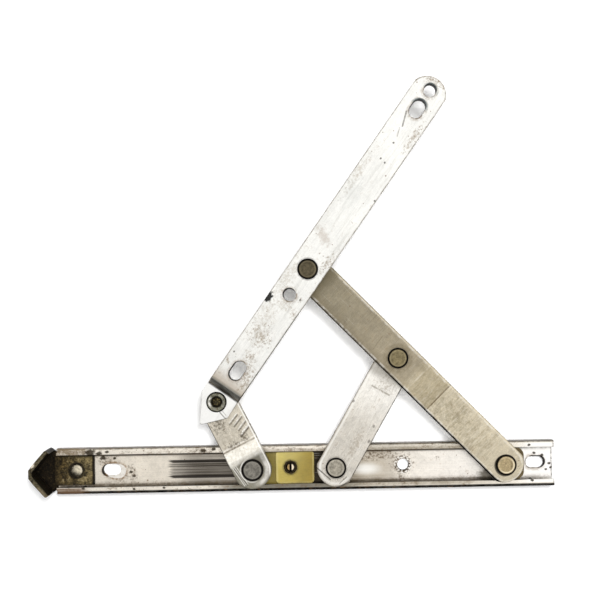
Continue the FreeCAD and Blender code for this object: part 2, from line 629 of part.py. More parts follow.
def make_pivot_screw():
    """Flanged pivot screw with a hexagon socket that joins the crank and the sash arm's tab."""
    seat = LEVEL_MIDDLE + ARM_THICKNESS + FACE_GAP
    crown = seat + SCREW_FLANGE_HEIGHT
    profile = [
        (0, LEVEL_LOW),
        (SHANK_RADIUS, LEVEL_LOW),
        (SHANK_RADIUS, LEVEL_MIDDLE - FACE_GAP),
        (SCREW_BODY_RADIUS, LEVEL_MIDDLE - FACE_GAP),
        (SCREW_BODY_RADIUS, seat),
        (SCREW_FLANGE_RADIUS, seat),
        (SCREW_FLANGE_RADIUS, crown - 2 * HEAD_CHAMFER),
        (SCREW_FLANGE_RADIUS - 2 * HEAD_CHAMFER, crown),
        (0, crown),
    ]
    screw = turned(PIVOT["tab"], profile)
    corner_radius = SCREW_SOCKET_ACROSS_FLATS / math.sqrt(3)
    corners = []
    for step in range(6):
        corner = PIVOT["tab"] + polar(60.0 * step, corner_radius)
        corners.append((corner.x, corner.y))
    screw = screw.cut(polygon_solid(corners, crown - SCREW_SOCKET_DEPTH, crown + CUT_MARGIN))
    mouth_depth = SCREW_SOCKET_MOUTH - SCREW_SOCKET_ACROSS_FLATS / 2
    mouth = Part.makeCone(SCREW_SOCKET_MOUTH - mouth_depth, SCREW_SOCKET_MOUTH + mouth_depth, 2 * mouth_depth,
                          Vector(PIVOT["tab"].x, PIVOT["tab"].y, crown - mouth_depth), UP)
    return screw.cut(mouth)


def build():
    """All the separate pieces by node name."""
    low_top = LEVEL_LOW + ARM_THICKNESS
    middle_top = LEVEL_MIDDLE + ARM_THICKNESS
    high_top = LEVEL_HIGH + ARM_THICKNESS
    crank_top = LEVEL_CRANK_FOOT + ARM_THICKNESS + CRANK_FOOT_HEAD_LIFT
    track_head_bottom = low_top - HEAD_DEPTH + FACE_GAP
    crank_head_bottom = LEVEL_CRANK_FOOT + ARM_THICKNESS - HEAD_DEPTH + FACE_GAP
    link_foot_top = LEVEL_LOW + HEAD_DEPTH - FACE_GAP
    washer_bottom = LEVEL_LOW - FACE_GAP - TRACK_WASHER_THICKNESS
    return {
        "track": make_track(),
        "end_cap": make_end_cap(),
        "end_cap_rivet": make_end_cap_rivet(),
        "pivot_block": make_pivot_block(),
        "track_washer": washer(PIVOT["track"], washer_bottom, LEVEL_LOW - FACE_GAP, PIVOT_BOSS_RADIUS),
        "track_pivot_rivet": rivet(PIVOT["track"], low_top + TRACK_HEAD_LIFT, HEAD_RADIUS, track_head_bottom,
                                   0, FOOT_HEAD_DEPTH, FOOT_HEAD_RADIUS),
        "long_arm": make_long_arm(),
        "link_pivot_rivet": rivet(PIVOT["link"], middle_top, HEAD_RADIUS, middle_top - HEAD_DEPTH,
                                  LEVEL_LOW, link_foot_top, HEAD_RADIUS),
        "link_washer": washer(PIVOT["link"], low_top + FACE_GAP, LEVEL_MIDDLE),
        "sash_pivot_rivet": rivet(PIVOT["sash"], high_top, HEAD_RADIUS, high_top - HEAD_DEPTH + FACE_GAP,
                                  LEVEL_MIDDLE, LEVEL_MIDDLE + FOOT_HEAD_DEPTH, FOOT_HEAD_RADIUS),
        "sash_washer": washer(PIVOT["sash"], middle_top, LEVEL_HIGH - FACE_GAP),
        "mid_link": make_mid_link(),
        "slider_plate": make_slider_plate(),
        "slider_block": make_slider_block(),
        "friction_pad": make_friction_pad(),
        "screw_insert": make_screw_insert(),
        "friction_screw": make_friction_screw(),
        "link_spacer": make_spacer("slider", SLIDER_PLATE_TOP, LEVEL_LOW),
        "slider_link_rivet": rivet(PIVOT["slider"], low_top, HEAD_RADIUS, low_top - HEAD_DEPTH + FACE_GAP,
                                   SLIDER_PLATE_BOTTOM, SLIDER_PLATE_BOTTOM + FACE_GAP, SHANK_RADIUS),
        "crank_spacer": make_spacer("crank", BLOCK_TOP_LOW, LEVEL_CRANK_FOOT),
        "slider_crank_rivet": rivet(PIVOT["crank"], crank_top, CRANK_HEAD_RADIUS, crank_head_bottom,
                                    SLIDER_PLATE_BOTTOM, SLIDER_PLATE_BOTTOM + FACE_GAP, SHANK_RADIUS),
        "crank_arm": make_crank_arm(),
        "tab_washer": washer(PIVOT["tab"], low_top, LEVEL_MIDDLE - FACE_GAP),
        "tab_pivot_screw": make_pivot_screw(),
        "sash_arm": make_sash_arm(),
    }


def main():
    os.makedirs("parts", exist_ok=True)
    for name, shape in build().items():
        if shape.ShapeType == "Compound" and len(shape.Solids) == 1:
            shape = shape.Solids[0]
        print(name, shape.ShapeType, len(shape.Solids), shape.isValid(), round(shape.Volume, 1))
        shape.exportStep("parts/" + name + ".step")
    for name, point in PIVOT.items():
        print(name, round(point.x, 4), round(point.y, 4))


main()
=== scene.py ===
import json
import math

import bpy
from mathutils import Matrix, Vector


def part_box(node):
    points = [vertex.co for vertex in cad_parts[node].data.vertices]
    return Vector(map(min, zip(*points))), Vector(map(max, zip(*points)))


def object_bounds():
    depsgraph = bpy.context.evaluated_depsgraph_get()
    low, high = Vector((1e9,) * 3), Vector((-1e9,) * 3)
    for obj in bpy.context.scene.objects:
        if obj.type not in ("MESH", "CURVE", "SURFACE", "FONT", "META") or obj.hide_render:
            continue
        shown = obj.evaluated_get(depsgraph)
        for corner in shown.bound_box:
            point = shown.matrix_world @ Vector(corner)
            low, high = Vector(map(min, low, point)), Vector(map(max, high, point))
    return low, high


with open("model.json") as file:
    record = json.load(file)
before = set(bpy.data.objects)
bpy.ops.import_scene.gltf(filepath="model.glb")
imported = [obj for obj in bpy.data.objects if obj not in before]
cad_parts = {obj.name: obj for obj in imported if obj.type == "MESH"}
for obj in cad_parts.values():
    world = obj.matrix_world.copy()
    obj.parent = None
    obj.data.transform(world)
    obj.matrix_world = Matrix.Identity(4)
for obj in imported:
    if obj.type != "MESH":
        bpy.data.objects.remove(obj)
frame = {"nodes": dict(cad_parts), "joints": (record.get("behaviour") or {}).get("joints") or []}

CAD_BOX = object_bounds()
MM = 0.001

JOINT_AT = {j["name"]: Vector(j["pos_m"]) for j in frame["joints"]}
TRACK_PIVOT = JOINT_AT["long_arm_swing"]
LINK_PIVOT = JOINT_AT["mid_link_swing"]
SLIDER_PIVOT = JOINT_AT["slider_swing"]
CRANK_PIVOT = JOINT_AT["crank_swing"]
SASH_PIVOT = JOINT_AT["sash_arm_swing"]


def centre_of(node):
    low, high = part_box(node)
    return (low + high) / 2


TAB_PIVOT = centre_of("tab_pivot_screw")
SCREW_AT = centre_of("friction_screw")


def direction(start, end):
    """The heading in radians of the line from start to end, seen from above."""
    return math.atan2(end.y - start.y, end.x - start.x)


def distance(start, end):
    """The run from start to end in millimetres, seen from above."""
    return (end - start).to_2d().length / MM


def top_of(node):
    """The height of a node's highest point in millimetres."""
    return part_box(node)[1].z / MM


def srgb(red, green, blue):
    """A display colour, 0 to 255 per channel, as the linear colour that a shader takes."""
    linear = []
    for value in (red, green, blue):
        share = value / 255
        low = share / 12.92
        high = ((share + 0.055) / 1.055) ** 2.4
        linear.append(low if share <= 0.04045 else high)
    return (*linear, 1.0)


# ---------------------------------------------------------------- node graphs


class Finish:
    """One procedural material. Its methods add nodes and give back sockets; plain numbers may stand for sockets."""

    def __init__(self, name, origin=(0.0, 0.0, 0.0), angle=0.0):
        self.material = bpy.data.materials.new(name)
        self.material.use_nodes = True
        self.nodes = self.material.node_tree.nodes
        self.nodes.clear()
        self.links = self.material.node_tree.links
        texture = self.add("ShaderNodeTexCoord")
        place = self.add("ShaderNodeMapping", vector_type="TEXTURE")
        self.link(texture.outputs["Object"], place.inputs["Vector"])
        place.inputs["Location"].default_value = (origin[0], origin[1], 0.0)
        place.inputs["Rotation"].default_value = (0.0, 0.0, angle)
        place.inputs["Scale"].default_value = (MM, MM, MM)
        self.point = place.outputs["Vector"]
        split = self.add("ShaderNodeSeparateXYZ")
        self.link(self.point, split.inputs["Vector"])
        self.along, self.across, self.height = split.outputs
        facing = self.add("ShaderNodeSeparateXYZ")
        self.link(texture.outputs["Normal"], facing.inputs["Vector"])
        self.up = facing.outputs["Z"]
        self.shader = self.add("ShaderNodeBsdfPrincipled")
        out = self.add("ShaderNodeOutputMaterial")
        self.link(self.shader.outputs["BSDF"], out.inputs["Surface"])

    def add(self, kind, **settings):
        node = self.nodes.new(kind)
        for key, value in settings.items():
            setattr(node, key, value)
        return node

    def link(self, source, target):
        if isinstance(source, bpy.types.NodeSocket):
            self.links.new(source, target)
        else:
            target.default_value = source

    def math(self, operation, a, b=0.0):
        node = self.add("ShaderNodeMath", operation=operation)
        self.link(a, node.inputs[0])
        self.link(b, node.inputs[1])
        return node.outputs[0]

    def both(self, a, b):
        """The product of two values: where two masks overlap, or a mask at some strength."""
        return self.math("MULTIPLY", a, b)

    def ramp(self, value, start, end, low=0.0, high=1.0):
        """value carried smoothly from low at start to high at end."""
        node = self.add("ShaderNodeMapRange", interpolation_type="SMOOTHSTEP")
        for socket, setting in zip(node.inputs[:5], (value, start, end, low, high)):
            self.link(setting, socket)
        return node.outputs["Result"]

    def window(self, value, start, end, soft):
        """1 between start and end, fading over soft at both."""
        rise = self.ramp(value, start - soft / 2, start + soft / 2)
        fall = self.ramp(value, end - soft / 2, end + soft / 2, 1.0, 0.0)
        return self.both(rise, fall)

    def stretched(self, along, across, up=1.0, shift=(0.0, 0.0, 0.0), turn=0.0):
        """The point with its axes scaled, for grain that runs one way."""
        node = self.add("ShaderNodeMapping")
        self.link(self.point, node.inputs["Vector"])
        node.inputs["Location"].default_value = shift
        node.inputs["Rotation"].default_value = (0.0, 0.0, turn)
        node.inputs["Scale"].default_value = (along, across, up)
        return node.outputs["Vector"]

    def noise(self, vector, scale=1.0, detail=4.0, rough=0.6, distortion=0.0):
        node = self.add("ShaderNodeTexNoise")
        for name, value in (("Vector", vector), ("Scale", scale), ("Detail", detail),
                            ("Roughness", rough), ("Distortion", distortion)):
            self.link(value, node.inputs[name])
        return node.outputs["Fac"]

    def patch(self, at, length, width, turn=0.0, soft=0.4, ragged=0.0):
        """An ellipse of that length and width round a point, turned by degrees, its outline frayed by noise."""
        node = self.add("ShaderNodeMapping", vector_type="TEXTURE")
        self.link(self.point, node.inputs["Vector"])
        node.inputs["Location"].default_value = (at[0], at[1], 0.0)
        node.inputs["Rotation"].default_value = (0.0, 0.0, math.radians(turn))
        node.inputs["Scale"].default_value = (length / 2, width / 2, 1e4)
        size = self.add("ShaderNodeVectorMath", operation="LENGTH")
        self.link(node.outputs["Vector"], size.inputs[0])
        reach = size.outputs["Value"]
        if ragged:
            fray = self.noise(self.point, 0.9, 5.0, 0.65)
            reach = self.math("ADD", reach, self.ramp(fray, 0.3, 0.7, -ragged, ragged))
        return self.ramp(reach, 1 - soft, 1 + soft, 1.0, 0.0)

    def capsule(self, start, end, radius):
        """The distance in millimetres outside a round-ended bar from start to end, negative inside it."""
        node = self.add("ShaderNodeMapping", vector_type="TEXTURE")
        self.link(self.point, node.inputs["Vector"])
        node.inputs["Location"].default_value = (start[0], start[1], 0.0)
        heading = math.atan2(end[1] - start[1], end[0] - start[0])
        node.inputs["Rotation"].default_value = (0.0, 0.0, heading)
        split = self.add("ShaderNodeSeparateXYZ")
        self.link(node.outputs["Vector"], split.inputs[0])
        run = self.math("MINIMUM", self.math("MAXIMUM", split.outputs[0], 0.0), math.dist(start, end))
        gap = self.add("ShaderNodeCombineXYZ")
        self.link(self.math("SUBTRACT", split.outputs[0], run), gap.inputs[0])
        self.link(split.outputs[1], gap.inputs[1])
        size = self.add("ShaderNodeVectorMath", operation="LENGTH")
        self.link(gap.outputs[0], size.inputs[0])
        return self.math("SUBTRACT", size.outputs["Value"], radius)

    def circle(self, at, radius):
        """The distance in millimetres outside a circle round a point, negative inside it."""
        return self.capsule(at, at, radius)

    def stroke(self, start, end, width, ragged=0.25):
        """A scratch from start to end, of uneven strength."""
        line = self.ramp(self.capsule(start, end, 0.0), width * 0.25, width * 0.75, 1.0, 0.0)
        uneven = self.ramp(self.noise(self.point, 1.3, 4.0, 0.7), 0.35, 0.6, 1 - ragged, 1.0)
        return self.both(line, uneven)

    def broken(self, mask, scale=0.45, least=0.25, seed=0.0):
        """A mask with its strength varied by noise, for dirt that isn't even."""
        fray = self.noise(self.stretched(1.0, 1.0, 1.0, (seed, -seed, 0.0)), scale, 5.0, 0.7)
        return self.both(mask, self.ramp(fray, 0.38, 0.6, least, 1.0))

    def any_of(self, masks):
        """The strongest of several masks."""
        total = masks[0]
        for mask in masks[1:]:
            total = self.math("MAXIMUM", total, mask)
        return total

    def mix(self, factor, a, b, blend="MIX"):
        node = self.add("ShaderNodeMix", data_type="RGBA", blend_type=blend)
        self.link(factor, node.inputs[0])
        self.link(a, node.inputs[6])
        self.link(b, node.inputs[7])
        return node.outputs[2]

    def over(self, colour, mask, strength, tone):
        """tone laid over colour where the mask is, at that strength."""
        return self.mix(self.both(mask, strength), colour, tone)

    def shade(self, colour, factor, low, high):
        """colour, made darker or lighter by a noise."""
        level = self.ramp(factor, 0.35, 0.65, low, high)
        grey = self.add("ShaderNodeCombineColor")
        for socket in grey.inputs[:3]:
            self.link(level, socket)
        return self.mix(1.0, colour, grey.outputs[0], "MULTIPLY")

    def specks(self, scale, size, share, seed=0.0):
        """Small round dots: share of the cells hold one, and scale is cells per millimetre."""
        node = self.add("ShaderNodeTexVoronoi")
        self.link(self.stretched(1.0, 1.0, 0.2, (seed, seed * 0.7, 0.0)), node.inputs["Vector"])
        node.inputs["Scale"].default_value = scale
        chosen = self.add("ShaderNodeSeparateColor")
        self.link(node.outputs["Color"], chosen.inputs[0])
        here = self.ramp(chosen.outputs[0], 1 - share, 1 - share + 0.02)
        reach = self.both(here, size)
        return self.ramp(self.math("SUBTRACT", reach, node.outputs["Distance"]), 0.0, size * 0.6)

    def crevice(self, distance):
        """1 deep in the piece's own corners and holes, 0 in the open."""
        node = self.add("ShaderNodeAmbientOcclusion", samples=6, only_local=True)
        node.inputs["Distance"].default_value = distance
        return self.ramp(node.outputs["AO"], 0.35, 0.95, 1.0, 0.0)

    def bump(self, height, depth, under=None):
        """Relief of that depth in millimetres, over an earlier relief."""
        node = self.add("ShaderNodeBump")
        node.inputs["Strength"].default_value = 1.0
        node.inputs["Distance"].default_value = depth * MM
        self.link(height, node.inputs["Height"])
        if under is not None:
            self.link(under, node.inputs["Normal"])
        return node.outputs["Normal"]

    def finish(self, colour, roughness, normal=None, metallic=1.0, **constants):
        """The material, with its shader's inputs linked. constants are more of the shader's own sockets by name."""
        self.link(colour, self.shader.inputs["Base Color"])
        self.link(roughness, self.shader.inputs["Roughness"])
        self.link(metallic, self.shader.inputs["Metallic"])
        if normal is not None:
            self.link(normal, self.shader.inputs["Normal"])
        for name, value in constants.items():
            self.shader.inputs[name.replace("_", " ")].default_value = value
        return self.material


# ---------------------------------------------------------------- steels

GRIME = srgb(70, 60, 46)
BROWN = srgb(122, 96, 62)
RUST = srgb(112, 76, 40)
SOOT = srgb(12, 10, 8)
SHEARED = srgb(66, 60, 52)
WALL = srgb(40, 36, 30)
PALE = srgb(248, 245, 238)

# The pieces' own measures, in millimetres, for marks that follow their outlines.
OWN_PIVOT = (0.0, 0.0)
ARM_HALF_WIDTH = 7.2
HEAD_RADIUS = 3.65
HEAD_GAP_RADIUS = 4.2
CRANK_HEAD_RADIUS = 3.8
CRANK_HEAD_GAP_RADIUS = 4.4
SCREW_HEAD_RADIUS = 4.0
CAP_RIVET_AT = (-91.0, 0.0)
CAP_RIVET_RADIUS = 2.6


class Steel(Finish):
    """Worn sheet steel, built up in layers of colour, relief and dirt.

    tone is a colour, or a function that makes one from the material. rounded is the colour of its rolled edges.
    """

    def __init__(self, name, tone, origin=(0.0, 0.0, 0.0), angle=0.0, grain=(0.1, 1.8), uneven=0.08,
                 speck_share=0.06, rounded=SHEARED, hairs=0.3):
        super().__init__(name, origin, angle)
        self.colour = tone(self) if callable(tone) else tone
        clouds = self.noise(self.point, 0.07, 5.0, 0.6)
        self.colour = self.shade(self.colour, clouds, 1 - uneven * 0.7, 1 + uneven * 0.5)
        blots = self.noise(self.point, 0.42, 6.0, 0.72, 0.3)
        self.colour = self.shade(self.colour, blots, 1 - uneven, 1 + uneven * 0.6)
        grit = self.noise(self.point, 2.2, 4.0, 0.7)
        self.colour = self.shade(self.colour, grit, 1 - uneven * 0.8, 1 + uneven * 0.4)
        self.colour = self.over(self.colour, self.ramp(blots, 0.55, 0.7), 0.3, BROWN)
        self.lines = self.noise(self.stretched(*grain), 1.0, 6.0, 0.75)
        self.colour = self.shade(self.colour, self.lines, 1 - uneven * 0.9, 1 + uneven * 0.7)
        for turn, seed in ((0.35, 11.0), (-0.9, 37.0)):
            hair = self.noise(self.stretched(0.06, 2.6, 1.0, (seed, seed, 0.0), turn), 1.0, 2.0, 0.5)
            self.colour = self.over(self.colour, self.ramp(hair, 0.68, 0.74), hairs, PALE)
        dots = self.any_of([self.specks(0.3, 0.15, speck_share, 3.0),
                            self.specks(0.7, 0.2, speck_share, 8.0)])
        self.colour = self.over(self.colour, dots, 0.8, RUST)
        side = self.ramp(self.math("ABSOLUTE", self.up), 0.55, 0.93, 1.0, 0.0)
        self.colour = self.over(self.colour, side, 1.0, rounded)
        wall = self.ramp(self.math("ABSOLUTE", self.up), 0.15, 0.35, 1.0, 0.0)
        self.colour = self.over(self.colour, wall, 0.8, WALL)
        # self.dirt gathers every mark that dulls the metal: grime in its own hollows, and later some painted shade.
        self.dirt = self.crevice(0.0012)
        self.colour = self.over(self.colour, self.dirt, 0.7, GRIME)
        self.normal = self.bump(self.lines, 0.006, self.bump(blots, 0.02))

    def dirt_and_shade(self, mask, strength, tone):
        """Dirt, and also painted shade: either hides the metal's shine as well as its colour."""
        self.colour = self.over(self.colour, mask, strength, tone)
        self.dirt = self.math("MAXIMUM", self.dirt, self.both(mask, strength))

    def mark(self, mask, strength, tone):
        """A mark that stays as shiny as the metal round it."""
        self.colour = self.over(self.colour, mask, strength, tone)

    def stains(self, patches, strength, tone, seed=0.0):
        """Blotches of dried grime: each is (along, across, length, width, turn in degrees)."""
        spread = self.any_of([self.patch((x, y), length, width, turn, 0.6, 0.8)
                              for x, y, length, width, turn in patches])
        grit = self.ramp(self.noise(self.stretched(1.0, 1.0, 1.0, (seed, 0.0, 0.0)), 1.1, 7.0, 0.78), 0.4, 0.6)
        self.dirt_and_shade(self.both(spread, grit), strength, tone)

    def edge(self, outline, strength=0.6, width=0.5, tone=GRIME, seed=0.0):
        """A broken dirty line just inside an outline."""
        self.dirt_and_shade(self.broken(self.ramp(outline, -width, -width * 0.3), 0.4, 0.35, seed), strength, tone)

    def groove(self, at, radius, top):
        """Soot in the gap round a rivet head that sits in a recess."""
        inside = self.ramp(self.circle(at, radius), -0.05, 0.05, 1.0, 0.0)
        below = self.ramp(self.height, top - 0.25, top - 0.12, 1.0, 0.0)
        self.dirt_and_shade(self.both(inside, below), 0.97, SOOT)
        rim = self.window(self.circle(at, radius), -0.1, 0.35, 0.25)
        self.mark(self.broken(rim, 0.5, 0.2), 0.45, GRIME)

    def opening(self, start, end, radius, strength=0.8, seed=0.0, lean=(0.0, 0.0)):
        """A dirty lip round a hole or slot, with painted shade on its side towards lean, and a soft stain beyond
        it.
        """
        outline = self.capsule(start, end, radius)
        rim = self.ramp(outline, 0.3, 0.6, 1.0, 0.0)
        self.mark(self.broken(rim, 0.5, 0.15, seed), strength, srgb(52, 42, 30))
        stain = self.ramp(outline, 0.5, 1.7, 1.0, 0.0)
        self.dirt_and_shade(self.broken(stain, 0.7, 0.0, seed + 5.0), strength * 0.6, BROWN)
        # Painted shade: a black crescent on the side of the opening towards lean.
        shaded_side = self.capsule((start[0] + lean[0], start[1] + lean[1]), (end[0] + lean[0], end[1] + lean[1]), radius)
        self.mark(self.ramp(shaded_side, 0.1, 0.35, 1.0, 0.0), 0.95, SOOT)

    def done(self, smooth=0.27, rough=0.42):
        """The finished material: its gloss varies between those roughnesses with the grain, and dirt is dull."""
        roughness = self.ramp(self.lines, 0.35, 0.65, smooth, rough)
        roughness = self.math("MAXIMUM", roughness, self.both(self.dirt, 0.75))
        return self.finish(self.colour, roughness, self.normal, self.ramp(self.dirt, 0.15, 0.95, 1.0, 0.6))


LEFT_SLOT, RIGHT_SLOT = -77.0, 91.5
SLOT_HALF_RUN = 1.2
SLOT_RADIUS = 2.25
CENTRE_HOLE = (39.0, 0.0)
LIP_FROM = 6.3
LIP_RISE = (2.6, 3.4)

# Where the photograph shows stains: along, across, length, width, turn in degrees.
TRACK_STAINS = [(-79.6, 3.9, 6.4, 3.4, 0), (-73.6, -3.2, 6.5, 2.6, 20), (-69.0, -1.8, 2.8, 5.6, 10),
                (24.0, 3.9, 22.0, 3.4, 0), (38.2, -5.0, 1.8, 4.6, 10), (38.6, 0.6, 7.0, 6.6, 0),
                (52.7, 2.2, 1.6, 1.3, 0), (-92.0, 7.6, 14.0, 3.4, 0), (-40.0, 7.4, 9.0, 2.6, 0)]
# Where it shows dark rust spots: along, across, width.
TRACK_SPOTS = [(-85.0, 7.3, 2.6), (-81.5, 7.0, 1.5), (-78.3, 7.6, 1.0), (-40.3, 7.4, 1.3), (-36.0, 8.0, 1.2),
               (-67.9, -7.3, 0.9), (-56.0, -7.0, 0.8), (-88.0, -6.8, 1.0), (85.0, 2.9, 0.9), (94.6, 2.7, 1.0),
               (97.3, -0.6, 1.0), (98.0, -2.2, 0.9), (89.7, -6.6, 0.9), (96.0, -3.0, 0.7), (88.6, 7.4, 0.9),
               (91.4, 3.6, 0.9), (-69.6, -1.1, 1.0), (-68.4, -2.8, 0.9), (-80.6, 4.6, 1.6), (-76.0, 4.4, 0.9)]


def rubbed_band(s, floor):
    """What the friction pad left in the track: a grey film, with dark lines where the pad's edges ran; also painted
    shade on the floor between the arms and beyond the shoe, and a painted reflection.
    """
    streaks = s.ramp(s.noise(s.stretched(0.012, 2.6), 1.0, 5.0, 0.8), 0.36, 0.64, 0.55, 1.0)
    ragged = s.ramp(s.noise(s.stretched(0.01, 3.0), 1.0, 3.0), 0.3, 0.7, -1.2, 1.2)
    run = s.both(s.window(s.math("ADD", s.along, ragged), -54.0, 1.0, 1.4), floor)
    deeper = s.ramp(s.along, -56.0, -40.0, 0.6, 1.0)
    film = s.both(s.window(s.across, -3.5, 2.9, 0.4), s.both(streaks, deeper))
    s.mark(s.both(film, run), 1.0, srgb(60, 57, 52))
    # Painted shade on the floor between the arms.
    dull = s.both(s.window(s.along, -49.0, 8.0, 12.0), floor)
    s.mark(s.both(dull, streaks), 0.8, srgb(78, 70, 61))
    pad_edges = s.any_of([s.window(s.across, at - 0.575, at + 0.575, 0.25) for at in (2.75, -3.4)])
    hairs = s.any_of([s.window(s.across, at - 0.15, at + 0.15, 0.25) for at in (1.5, 0.8, -0.6, -1.9)])
    scored = s.math("MAXIMUM", pad_edges, s.both(hairs, 0.6))
    s.mark(s.both(scored, run), 0.92, srgb(28, 24, 22))
    # A film on the floor beyond the shoe, with painted shade over its nearer part.
    for end, soft, tone in ((36.0, 12.0, srgb(140, 124, 96)), (22.0, 8.0, srgb(110, 96, 72))):
        film_and_shade_beyond_shoe = s.both(s.window(s.along, 10.0, end, soft), floor)
        s.mark(s.both(film_and_shade_beyond_shoe, streaks), 0.6, tone)
    # A painted reflection on the floor beyond the shoe.
    s.mark(s.patch((24.4, -1.5), 9.0, 3.6, 0, 0.8), 0.95, PALE)


def rolled_lips(s, floor, lip, south, north):
    """Painted shade and dirt under the rolled lips, painted shade along their edges and between the arms, painted
    light at the far end, and rust.
    """
    inside = s.math("ABSOLUTE", s.across)
    low = s.ramp(s.height, 3.2, 3.9, 1.0, 0.0)
    # Painted shade on the floor under the lips.
    s.mark(s.both(s.window(s.across, 5.3, 8.2, 0.8), low), 0.95, SOOT)
    s.mark(s.broken(s.both(s.ramp(s.across, -5.4, -5.9), low), 0.5, 0.3), 0.6, srgb(120, 104, 80))
    # Painted shade along the lips' inner edges.
    s.mark(s.both(s.window(inside, LIP_FROM - 0.4, LIP_FROM + 0.15, 0.3), lip), 0.85, SOOT)
    # Painted shade on the lips between the arms.
    inner_half = s.both(s.window(inside, LIP_FROM, 7.5, 0.7), lip)
    between_arms = s.window(s.along, -26.0, 70.0, 20.0)
    s.mark(s.broken(s.both(inner_half, between_arms), 0.3, 0.5), 0.6, srgb(128, 112, 88))
    for side, start, end, soft, strength, tone in ((south, -34.0, 20.0, 14.0, 0.75, srgb(92, 90, 78)),
                                                   (south, 16.0, 62.0, 14.0, 0.2, srgb(120, 112, 92)),
                                                   (north, 14.0, 78.0, 12.0, 0.3, srgb(118, 110, 88))):
        s.mark(s.both(side, s.window(s.along, start, end, soft)), strength, tone)
    # Painted shade along the south lip's outer edge.
    corner = s.ramp(s.height, 3.6, 4.1)
    s.mark(s.both(s.broken(s.ramp(s.across, -7.6, -8.0), 0.3, 0.9), corner), 1.0, srgb(10, 9, 8))
    # Painted light on the far end.
    far_end = s.ramp(s.along, 82.0, 90.0)
    s.mark(s.both(far_end, s.window(s.across, -7.5, 8.3, 0.6)), 0.75, srgb(252, 250, 246))
    # Painted shade along the north lip's outer edge.
    s.mark(s.both(s.broken(s.ramp(s.across, 8.2, 8.6), 0.3, 0.5), corner), 0.8, srgb(72, 66, 54))
    rusty = s.both(s.ramp(s.noise(s.stretched(0.5, 1.0), 0.9, 6.0, 0.75), 0.52, 0.62), lip)
    s.dirt_and_shade(s.both(rusty, s.window(s.along, -99.0, 70.0, 8.0)), 0.6, srgb(104, 80, 52))
    under_lips = s.both(s.ramp(inside, 4.4, 6.0), floor)
    s.dirt_and_shade(s.broken(under_lips, 0.5, 0.0, 7.0), 0.45, srgb(112, 92, 66))


def track_openings(s):
    """Dirty edges round the slots and the hole, each with painted shade on one side, a torn pale burr at the left
    slot, and teeth round the hole.
    """
    for at, lean in ((LEFT_SLOT, (-0.6, -0.3)), (RIGHT_SLOT, (0.65, 0.2))):
        s.opening((at - SLOT_HALF_RUN, 0.0), (at + SLOT_HALF_RUN, 0.0), SLOT_RADIUS, 0.85, at, lean)
    s.opening(CENTRE_HOLE, CENTRE_HOLE, SLOT_RADIUS, 0.95, 2.0, (0.25, -0.35))
    s.stains(TRACK_STAINS, 0.9, srgb(88, 68, 44))
    torn = s.capsule((LEFT_SLOT + 0.4, -0.5), (LEFT_SLOT + 2.6, -0.7), SLOT_RADIUS + 0.3)
    s.mark(s.broken(s.ramp(torn, 0.5, 1.5, 1.0, 0.0), 0.9, 0.0, 12.0), 0.8, srgb(140, 104, 62))
    s.mark(s.broken(s.ramp(torn, 0.1, 0.5, 1.0, 0.0), 0.6, 0.7, 6.0), 0.9, PALE)
    teeth = s.window(s.circle(CENTRE_HOLE, SLOT_RADIUS), 0.2, 1.3, 0.4)
    flecks = s.noise(s.point, 1.6, 3.0, 0.6)
    s.mark(s.both(teeth, s.ramp(flecks, 0.5, 0.58)), 0.85, srgb(70, 58, 44))
    s.mark(s.both(teeth, s.ramp(flecks, 0.42, 0.5, 1.0, 0.0)), 0.9, PALE)


def track_ends(s, floor, lip, north):
    """Painted shade on the floor beside the pivot block, the cropped far end, and the stained lips at the nose."""
    # Painted shade beside the pivot block.
    s.mark(s.both(s.patch((73.2, -4.3), 9.0, 6.0, 30, 0.5, 0.2), floor), 0.85, srgb(74, 66, 48))
    s.mark(s.broken(s.ramp(s.along, 97.7, 98.2), 0.5, 0.1, 5.0), 0.75, srgb(60, 52, 40))
    grit = s.both(s.ramp(s.noise(s.point, 2.0, 4.0, 0.75), 0.54, 0.64), north)
    s.mark(s.both(grit, s.window(s.along, 14.0, 86.0, 8.0)), 0.6, srgb(84, 70, 50))
    tip = s.window(s.along, -102.0, -87.5, 6.0)
    south_tip = s.both(s.both(tip, s.ramp(s.across, -6.4, -6.8)), lip)
    s.dirt_and_shade(s.broken(south_tip, 0.5, 0.85, 4.0), 0.97, srgb(104, 80, 58))
    north_tip = s.both(s.both(tip, s.ramp(s.across, 6.0, 6.4)), lip)
    s.dirt_and_shade(s.broken(north_tip, 0.6, 0.4, 9.0), 0.85, srgb(120, 104, 78))


def track_steel():
    """The track: warm pale steel drawn along its length, dirtiest in its corners."""
    def tone(f):
        # Paler towards the far end: painted light.
        base = f.mix(f.ramp(f.along, 0.0, 90.0), srgb(238, 229, 214), srgb(248, 243, 236))
        return f.mix(f.ramp(f.height, *LIP_RISE), base, srgb(242, 234, 220))

    s = Steel("track_steel", tone, grain=(0.03, 2.4), uneven=0.085, speck_share=0.1, rounded=srgb(120, 112, 100))
    floor = s.ramp(s.height, 1.0, 2.0, 1.0, 0.0)
    lip = s.ramp(s.height, *LIP_RISE)
    south = s.both(s.ramp(s.across, -5.9, -6.3), lip)
    north = s.both(s.ramp(s.across, 5.9, 6.3), lip)
    rubbed_band(s, floor)
    rolled_lips(s, floor, lip, south, north)
    track_openings(s)
    track_ends(s, floor, lip, north)
    spots = s.any_of([s.patch((x, y), size * 1.4, size, 0, 0.3, 0.3) for x, y, size in TRACK_SPOTS])
    s.mark(spots, 0.92, srgb(48, 38, 22))
    return s.done()


